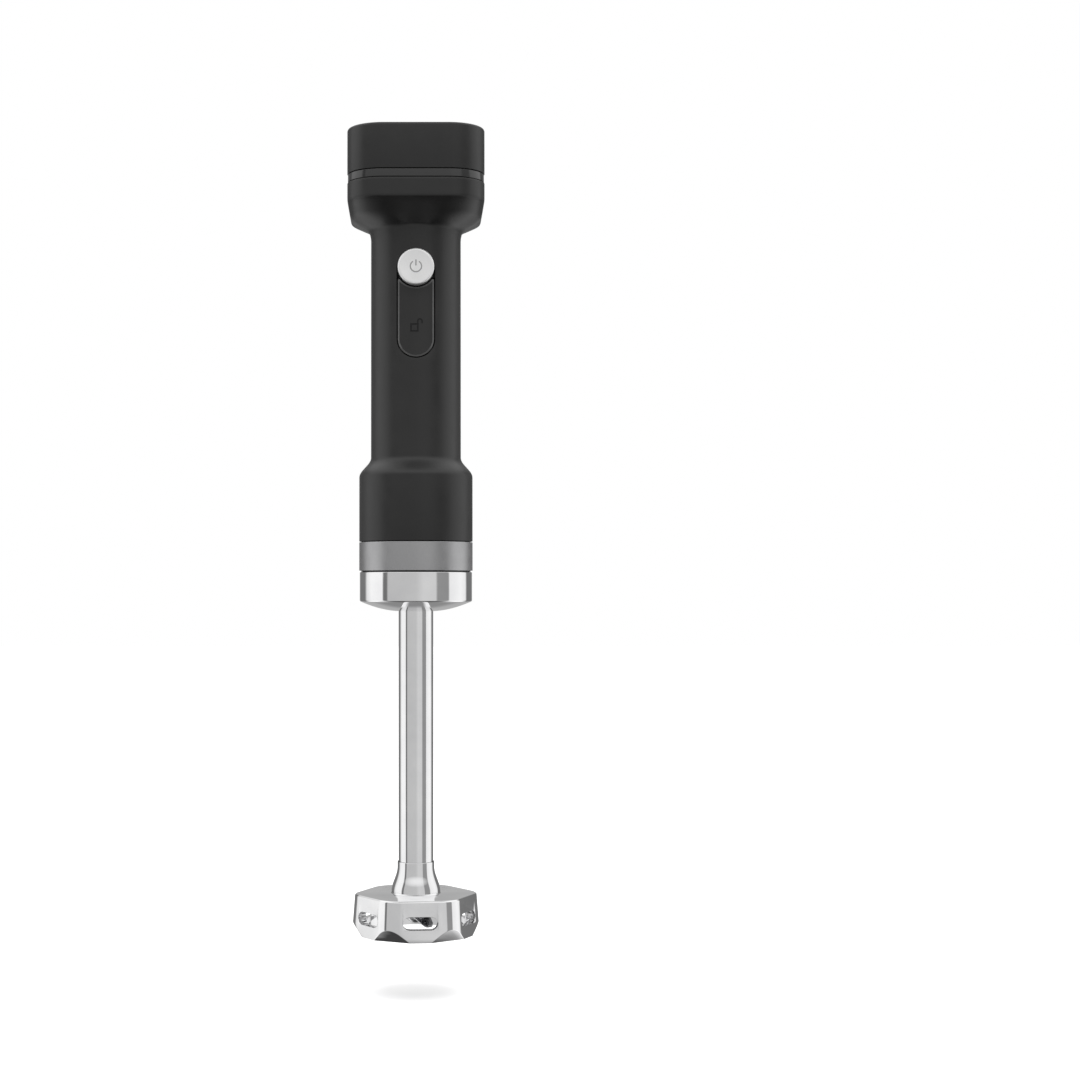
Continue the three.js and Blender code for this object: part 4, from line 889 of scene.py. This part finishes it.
def unlock_pad():
    """The satin pad below the power button, curved like the handle, with a round foot and a hollow top."""
    curve, thickness, chamfer, horn = HANDLE_RADIUS - 0.1, 3.0, 0.8, BUTTON_HEIGHT - 6
    foot, width, room = PAD_FOOT, PAD_WIDTH, BUTTON_RADIUS + 0.8
    columns, rows = 48, 60

    def rim(x, inset):
        """The heights of the pad's lower and upper edge above a place across it."""
        w = width - inset
        lower = foot + width - math.sqrt(max(w * w - x * x, 0))
        upper = BUTTON_HEIGHT - math.sqrt((room + inset) ** 2 - x * x)
        return lower, min(upper, horn - inset)

    def layer(inset, back):
        w = width - inset
        grid = []
        for j in range(rows + 1):
            for i in range(columns + 1):
                x = -w * math.cos(math.pi * i / columns)
                lower, upper = rim(x, inset)
                z = lower + (upper - lower) * j / rows
                grid.append((x, -math.sqrt((curve - back) ** 2 - x * x), z))
        return grid

    def border():
        around = [(i, 0) for i in range(columns)] + [(columns, j) for j in range(rows)]
        around += [(i, rows) for i in range(columns, 0, -1)] + [(0, j) for j in range(rows, 0, -1)]
        return [j * (columns + 1) + i for i, j in around]

    face = layer(chamfer, 0)
    edge = layer(0, chamfer * 0.42)
    rear = layer(0, thickness)
    count = len(face)
    faces = loop_faces(columns + 1, rows + 1, closed_loop=False)
    back_faces = [tuple(reversed([v + 2 * count for v in f])) for f in faces]
    loop = border()
    for start, end in ((0, count), (count, 2 * count)):
        for a, b in zip(loop, loop[1:] + loop[:1]):
            faces.append((a + start, b + start, b + end, a + end))
    pad = make_object("unlock_pad", face + edge + rear, faces + back_faces, 20)
    bm = bmesh.new()
    bm.from_mesh(pad.data)
    bmesh.ops.delete(bm, geom=[v for v in bm.verts if not v.link_faces], context="VERTS")
    bm.to_mesh(pad.data)
    bm.free()
    finish_piece(pad, "unlock_button", PAD_BLACK, "satin_black", "unlock_button")
    # The chamfer round the pad is polished, and it is coloured a much lighter grey than the pad as a painted
    # highlight, so it shows as a fine bright line.
    pad.data.materials.append(PAD_EDGE_PAINTED_HIGHLIGHT)
    for polygon in pad.data.polygons:
        reach = [math.hypot(*pad.data.vertices[v].co.xy) / MM for v in polygon.vertices]
        if max(reach) > curve - 0.05 and min(reach) < curve - 0.1:
            polygon.material_index = 1
    return pad


def pad_backing():
    """The flange and stem of the unlock button, behind the handle's wall."""
    foot, top = OPENING_FOOT - 2.1, OPENING_FOOT + 33.6
    neck = plate("unlock_flange", rectangle(-8.5, 8.5, foot + 4.8, top), -21.2, -16.4, "y")
    flange = plate("flange", rectangle(-11.3, 11.3, foot, top), -17.8, -16.3, "y")
    stem = rod("stem", 2.5, -high("unlock_button").y, 17, 32)
    join(neck, flange, moved(tipped(stem), z=SYMBOL_HEIGHT))
    return finish_piece(neck, "unlock_button", INSIDE_BLACK, "satin_black")


def padlock_symbol():
    """A small open padlock printed on the pad: a square outline, its shackle swung out to the right."""
    curve, proud, depth = HANDLE_RADIUS - 0.1, -0.12, 0.25
    half, line, inner, outer = 2.15, 0.75, 0.8, 1.5
    middle, across = SYMBOL_HEIGHT - 0.3, -0.8
    x = across + half + outer - line
    centre = (x, middle + 3.3)
    left_end, right_end = middle + half - 0.2, middle + half + 0.1
    shackle = [
        (x - outer, left_end), *arc(centre, outer, 180, 0, 16), (x + outer, right_end),
        (x + inner, right_end), *arc(centre, inner, 0, 180, 16), (x - inner, left_end),
    ]
    lock = plate("padlock_symbol", shackle, proud, depth, "y")
    bars = []
    for side in (-1, 1):
        for i in range(6):
            start = -half + 2 * half * i / 6
            end = start + 2 * half / 6 + 0.02
            near, far = span(side, half, half - line)
            bars.append(rectangle(across + start, across + end, middle + near, middle + far))
        near, far = sorted((across + side * half, across + side * (half - line)))
        bars.append(rectangle(near, far, middle - half, middle + half))
    join(lock, *[plate("bar", bar, proud, depth, "y") for bar in bars])
    for vertex in lock.data.vertices:
        vertex.co.y -= math.sqrt((curve * MM) ** 2 - vertex.co.x ** 2)
    return finish_piece(lock, "unlock_button", SYMBOL_BLACK, "satin_black")


# ------------------------------------------------------------------ battery dock
def dock_tray():
    foot, top = heights("dock_tray")
    inset = WALL + 0.25
    outline = rounded_rectangle(HEAD_X - inset, HEAD_Y - inset, HEAD_CORNER - inset)
    tray = plate("dock_tray_moulding", outline, foot, top)
    well = plate("well", rounded_rectangle(9.2, 14.2, 1.0, 6), foot - 2, top + 2)
    holes = [moved(rod("hole", 1.5, foot - 1, top + 1, 32), y=side * DOCK_SCREW_Y) for side in (-1, 1)]
    pocket = rounded_rectangle(1.6, 8, 0.6, 4)
    pockets = [
        moved(plate("latch_pocket", pocket, top - 1.2, top + 1), side * LATCH_POCKET_X) for side in (-1, 1)]
    cut(tray, well, *holes, *pockets)
    softer_edges(tray, 0.25, 2, 50)
    return finish_piece(tray, "motor_body", INSIDE_BLACK, "inside_black", "dock_tray")


def dock_connector():
    foot, blade_top = heights("dock_connector")
    top = foot + 7.4
    body = plate("dock_connector_moulding", rounded_rectangle(9, 14, 0.8, 6), foot, top)
    softer_edges(body, 0.25, 2, 50)
    finish_piece(body, "motor_body", INSIDE_BLACK, "inside_black", "dock_connector")
    for i, y in enumerate(TERMINAL_ROWS):
        outline = softened(rectangle(y - 0.5, y + 0.5, top - 0.5, blade_top), 0.3, keep=(0, 1))
        contact = plate(f"dock_contact_{i + 1}", outline, -2.2, 2.2, "x")
        finish_piece(contact, "motor_body", BRONZE, "bronze")
    return body


# ------------------------------------------------------------------ battery pack
def battery_base():
    """The glossy band of the pack, with its floor, screw wells and latch slots."""
    foot, top = heights("battery_base")
    floor, edge, wall = 1.8, 0.35, 2.3
    layers = []
    for i in range(6):
        angle = (math.pi / 2) * i / 5
        inset = 0.3 + edge * (1 - math.sin(angle))
        layers.append((inset, foot + edge * (1 - math.cos(angle))))
    layers += [(inset, top - (height - foot)) for inset, height in reversed(layers)]
    body = lofted("battery_base_moulding", [
        (rounded_rectangle(HEAD_X - inset, HEAD_Y - inset, HEAD_CORNER - inset, 32), height)
        for inset, height in layers])
    inside = rounded_rectangle(HEAD_X - wall, HEAD_Y - wall, HEAD_CORNER - wall)
    room = plate("room", inside, foot + floor, top + 1)
    tools = [room, plate("foot_hole", rounded_rectangle(7.2, 12.7, 0.6, 4), foot - 3, foot + 3.2)]
    for side in (-1, 1):
        slot = plate("latch_slot", rounded_rectangle(2.45, LATCH_WIDTH + 0.5, 0.5, 4), foot - 3, foot + 2.7)
        well = rod("well", 2.7, foot - 2, foot + 1.3, 40)
        tools += [moved(slot, side * LATCH_SLOT_X), moved(well, side * PACK_SCREW_X, PACK_SCREW_Y)]
    cut(body, *tools)
    return finish_piece(body, "battery", GLOSS_BLACK, "gloss_black", "battery_base")


def terminal_block():
    foot, top = heights("battery_terminal_block")
    body = plate("battery_terminal_moulding", rounded_rectangle(7, 12.5, 0.6, 5), foot, top - 0.3)
    openings = [rectangle(y - 0.85, y + 0.85, foot - 1, foot + 4) for y in TERMINAL_ROWS]
    slots = [plate("slot", opening, -3, 3, "x") for opening in openings]
    divide = plate("divide", rectangle(3.3, 4.7, foot - 1, foot + 1.6), -8, 8, "x")
    cut(body, *slots, divide)
    softer_edges(body, 0.25, 2, 50, where=lambda p: p.z < foot + 0.1)
    return finish_piece(body, "battery", INSIDE_BLACK, "inside_black", "battery_terminal_block")


def panel_outline(half_width, foot, top, corner=4.0, steps=12):
    """A release button seen from the side, with round upper corners."""
    return [(-half_width, foot), (half_width, foot),
            *arc((half_width - corner, top - corner), corner, 0, 90, steps),
            *arc((-half_width + corner, top - corner), corner, 90, 180, steps)]


def battery_shell():
    """The satin shell of the pack, with a fine groove inside its top edge and a panel let into its top."""
    foot, top = heights("battery_shell")
    edge = 1.5

    def outline(inset):
        return rounded_rectangle(HEAD_X - inset, HEAD_Y - inset, HEAD_CORNER - inset, 32)

    layers = [(outline(0.3), foot), (outline(0.08), foot + 0.08), (outline(0), foot + 0.3)]
    layers += [(outline(edge * (1 - math.cos(a))), top - edge + edge * math.sin(a))
               for a in (math.pi / 2 * i / 8 for i in range(8))]
    layers.append((outline(edge), top))
    # A hairline where the side wall meets the top's rim.
    hairline = 0.18
    layers += [(outline(1.9), top), (outline(1.95), top - hairline)]
    layers += [(outline(2.15), top - hairline), (outline(2.2), top)]
    # The rim slopes gently into the panel.
    for i in range(9):
        t = i / 8
        layers.append((outline(4.6 + 2.2 * t), top - 0.8 * (1 - math.cos(math.pi * t)) / 2))
    body = lofted("battery_shell_moulding", layers, sharp_angle=30)
    inside = rounded_rectangle(HEAD_X - WALL, HEAD_Y - WALL, HEAD_CORNER - WALL)
    tools = [plate("room", inside, foot - 1, top - 2.9)]
    window = panel_outline(PANEL_WIDTH + 0.3, foot - 1, PANEL_TOP + 0.3)
    for side in (-1, 1):
        tools.append(plate("window", window, *span(side, 30, 38), "x"))
    for x in LIGHTS:
        tools.append(moved(tipped(rod("light_hole", 0.8, -5, 5, 24)), x, HEAD_Y, LIGHT_HEIGHT))
    cut(body, *tools, sharp_angle=30)
    return finish_piece(body, "battery", SATIN_BLACK, "satin_black", "battery_shell")


def release_panel(name, side):
    """A release button: its face with a grip groove, and the flange and latch tongue behind."""
    node = "release_button_" + name
    foot, face = PANEL_FOOT, HEAD_X - 0.12
    tongue_foot, tongue_top = 390, 400
    back, behind = span(side, 32.8, face), span(side, 31.4, 33)
    button = plate("release_panel_" + name, panel_outline(PANEL_WIDTH, foot, PANEL_TOP), *back, "x")
    groove = slot_outline(27, 1.3, (0, foot + 6.2), 12)
    cut(button, plate("groove", groove, *span(side, face - 0.7, face + 1), "x"))
    softer_edges(button, 0.25, 3, 50, where=lambda p: abs(p.x) > face - 0.1)
    flange = plate("flange", rectangle(-21, 21, foot, INNER_TOP), *behind, "x")
    tongue = rectangle(-LATCH_WIDTH, LATCH_WIDTH, tongue_foot, tongue_top)
    tongue = plate("tongue", tongue, *behind, "x")
    join(button, flange, tongue)
    return finish_piece(button, "release_" + name, PAD_BLACK, "satin_black", node)


def light_pipe():
    bar = plate("charge_lights", rectangle(-8, 8, LIGHT_HEIGHT - 0.8, INNER_TOP), 35.4, 37.3, "y")
    foot, end = 36.5, HEAD_Y - 0.15
    pin = [(0, foot), (0.6, foot), (0.6, HEAD_Y - 0.35), (0.35, HEAD_Y - 0.2), (0, end)]
    join(bar, *[moved(tipped(turned("pin", pin, 24), -1), x, z=LIGHT_HEIGHT) for x in LIGHTS])
    return finish_piece(bar, "battery", LENS_SMOKE, "clear_plastic", "charge_light_pipe")


# ------------------------------------------------------------------ the whole blender
finish_cad_nodes()

blade_guard()
arm_tube()
arm_collar()
arm_hub()
shaft_seal()
blade()
blade_nut()
drive_shaft()
hub_foot = low("shaft_coupling").z
coupling("shaft_coupling_steel", "blade", "shaft_coupling", rectangle(0, 5.5, hub_foot, hub_foot + 9),
         4.3, 11.3, (195, 202), (90, 270), SLOT_MATERIALS["machined_steel"], "machined_steel")
coupling("motor_coupling_moulding", "rotor", "motor_coupling", rectangle(0, 11.5, 204.8, 211),
         6.2, 11.3, (197.5, 206), (0, 180), INSIDE_BLACK, "inside_black")

collar_band()
arm_socket()
interlock_ring()
for end, y in (("front", -SOCKET_SCREW_Y), ("rear", SOCKET_SCREW_Y)):
    cross_screw("socket_screw_" + end, "motor_body", 0, y)
housing_half("housing_front_shell", -1, button_opening())
housing_half("housing_rear_shell", 1)

power_button()
power_symbol()
unlock_pad()
pad_backing()
padlock_symbol()

dock_tray()
dock_connector()
for end, y in (("front", -DOCK_SCREW_Y), ("rear", DOCK_SCREW_Y)):
    cross_screw("dock_screw_" + end, "motor_body", 0, y, points_down=True)

battery_base()
terminal_block()
battery_shell()
release_panel("left", -1)
release_panel("right", 1)
light_pipe()
for end, x in (("left", -PACK_SCREW_X), ("right", PACK_SCREW_X)):
    cross_screw("battery_screw_" + end, "battery", x, PACK_SCREW_Y)


# ------------------------------------------------------------------ camera, light and floor
def studio_world():
    """A white studio: plain white to the camera, and soft panels all round for the reflections."""
    world = bpy.data.worlds.new("studio")
    bpy.context.scene.world = world
    world.use_nodes = True
    tree = world.node_tree
    background = tree.nodes["Background"]

    split = make_node(tree, "SeparateXYZ", {"Vector": make_node(tree, "TexCoord", {})["Generated"]})
    to_front = make_node(tree, "Math", {0: split["Y"], 1: -1}, operation="MULTIPLY")["Value"]
    azimuth = make_node(tree, "Math", {0: split["X"], 1: to_front}, operation="ARCTAN2")["Value"]
    share = remap(tree, azimuth, 0, 1, -math.pi, math.pi)

    def panels(stops):
        """Grey by azimuth."""
        ramp = tree.nodes.new("ShaderNodeValToRGB")
        tree.links.new(share, ramp.inputs["Fac"])
        elements = ramp.color_ramp.elements
        for i, (angle, grey) in enumerate(stops):
            stop = elements[i] if i < 2 else elements.new((angle + 180) / 360)
            stop.position = (angle + 180) / 360
            stop.color = (grey, grey, grey, 1)
        return ramp.outputs["Color"]

    colour = panels(STUDIO)
    for start, end, level in ZONES:
        colour = mixed(tree, remap(tree, split["Z"], 0, 1, start, end), colour, panels(level))
    seen = make_node(tree, "LightPath", {})["Is Camera Ray"]
    tree.links.new(mixed(tree, seen, colour, (1, 1, 1, 1)), background.inputs["Color"])
    background.inputs["Strength"].default_value = 1


# Azimuth in degrees, from behind on the left round the front (0) to behind on the right, and brightness:
# level with the object, and below it.
STUDIO = [
    (-180, 0.47), (-166, 0.47), (-162, 0.2), (-128, 0.22), (-120, 0.9), (-104, 1.1), (-73, 1.08), (-70, 0.2),
    (-62, 0.2), (-59, 0.6), (0, 0.62), (15, 0.74), (41, 0.72), (45, 0.33), (70, 0.33), (73, 1.0), (104, 1.12),
    (122, 1.0), (128, 0.2), (162, 0.2), (166, 0.47), (180, 0.47),
]
TABLE = [
    (-180, 0.3), (-168, 0.3), (-160, 1.3), (-95, 1.3), (-60, 0.36), (60, 0.36), (95, 1.3), (160, 1.3),
    (168, 0.3), (180, 0.3),
]
# Where each level above or below takes over, as the upward part of the direction, and what it shows.
ZONES = [
    (0.42, 0.6, [(-180, 1.2), (180, 1.2)]),
    (0.86, 0.97, [(-180, 0.5), (180, 0.5)]),
    (-0.42, -0.55, TABLE),
    (-0.7, -0.86, [(-180, 0.06), (180, 0.06)]),
]


def soft_light(name, place, target, size, power):
    lamp = bpy.data.lights.new(name, "AREA")
    lamp.shape = "RECTANGLE"
    lamp.size, lamp.size_y = size
    lamp.energy = power
    obj = bpy.data.objects.new(name, lamp)
    bpy.context.scene.collection.objects.link(obj)
    obj.location = place
    obj.rotation_euler = (Vector(target) - Vector(place)).to_track_quat("-Z", "Y").to_euler()
    # The panels, and not the lamp, show in the reflections.
    obj.visible_glossy = False


def floor():
    """A large pale sheet, low enough to leave room for the arm when it is pulled down."""
    reach, drop = 6000.0, 32.0
    corners = [(-reach, -reach, -drop), (reach, -reach, -drop), (reach, reach, -drop), (-reach, reach, -drop)]
    sheet = make_object("floor", corners, [(0, 1, 2, 3)])
    material, tree, shader = new_material("floor_white", (0.9, 0.9, 0.9), 0.9)
    paper = noise(tree, coordinates(tree), 1.5, 2)
    white = mixed(tree, paper, (0.895, 0.895, 0.895, 1), (0.905, 0.905, 0.905, 1))
    tree.links.new(white, shader.inputs["Base Color"])
    shader.inputs["Emission Color"].default_value = (1, 1, 1, 1)
    shader.inputs["Emission Strength"].default_value = 0.3
    sheet.data.materials.append(material)
    # The panels, and not the floor, fill the reflections from below.
    sheet.visible_glossy = False
    sheet.visible_diffuse = False
    sheet.visible_shadow = False


def camera():
    """The photograph's view: near the height of the arm's top, tilted a little up, framed off centre."""
    distance, height, tilt = 1.05, 0.183, 1.33
    data = bpy.data.cameras.new("camera")
    data.lens = 66.1
    data.sensor_width = 36
    obj = bpy.data.objects.new("camera", data)
    bpy.context.scene.collection.objects.link(obj)
    obj.location = (0, -distance, height)
    obj.rotation_euler = (math.radians(90 + tilt), 0, 0)
    data.shift_x = 0.11488
    bpy.context.scene.camera = obj


studio_world()
soft_light("overhead", (0, -0.3, 1.3), (0, 0, 0.3), (1.2, 1.2), 12)
floor()
camera()
bpy.context.scene.view_settings.view_transform = "Standard"
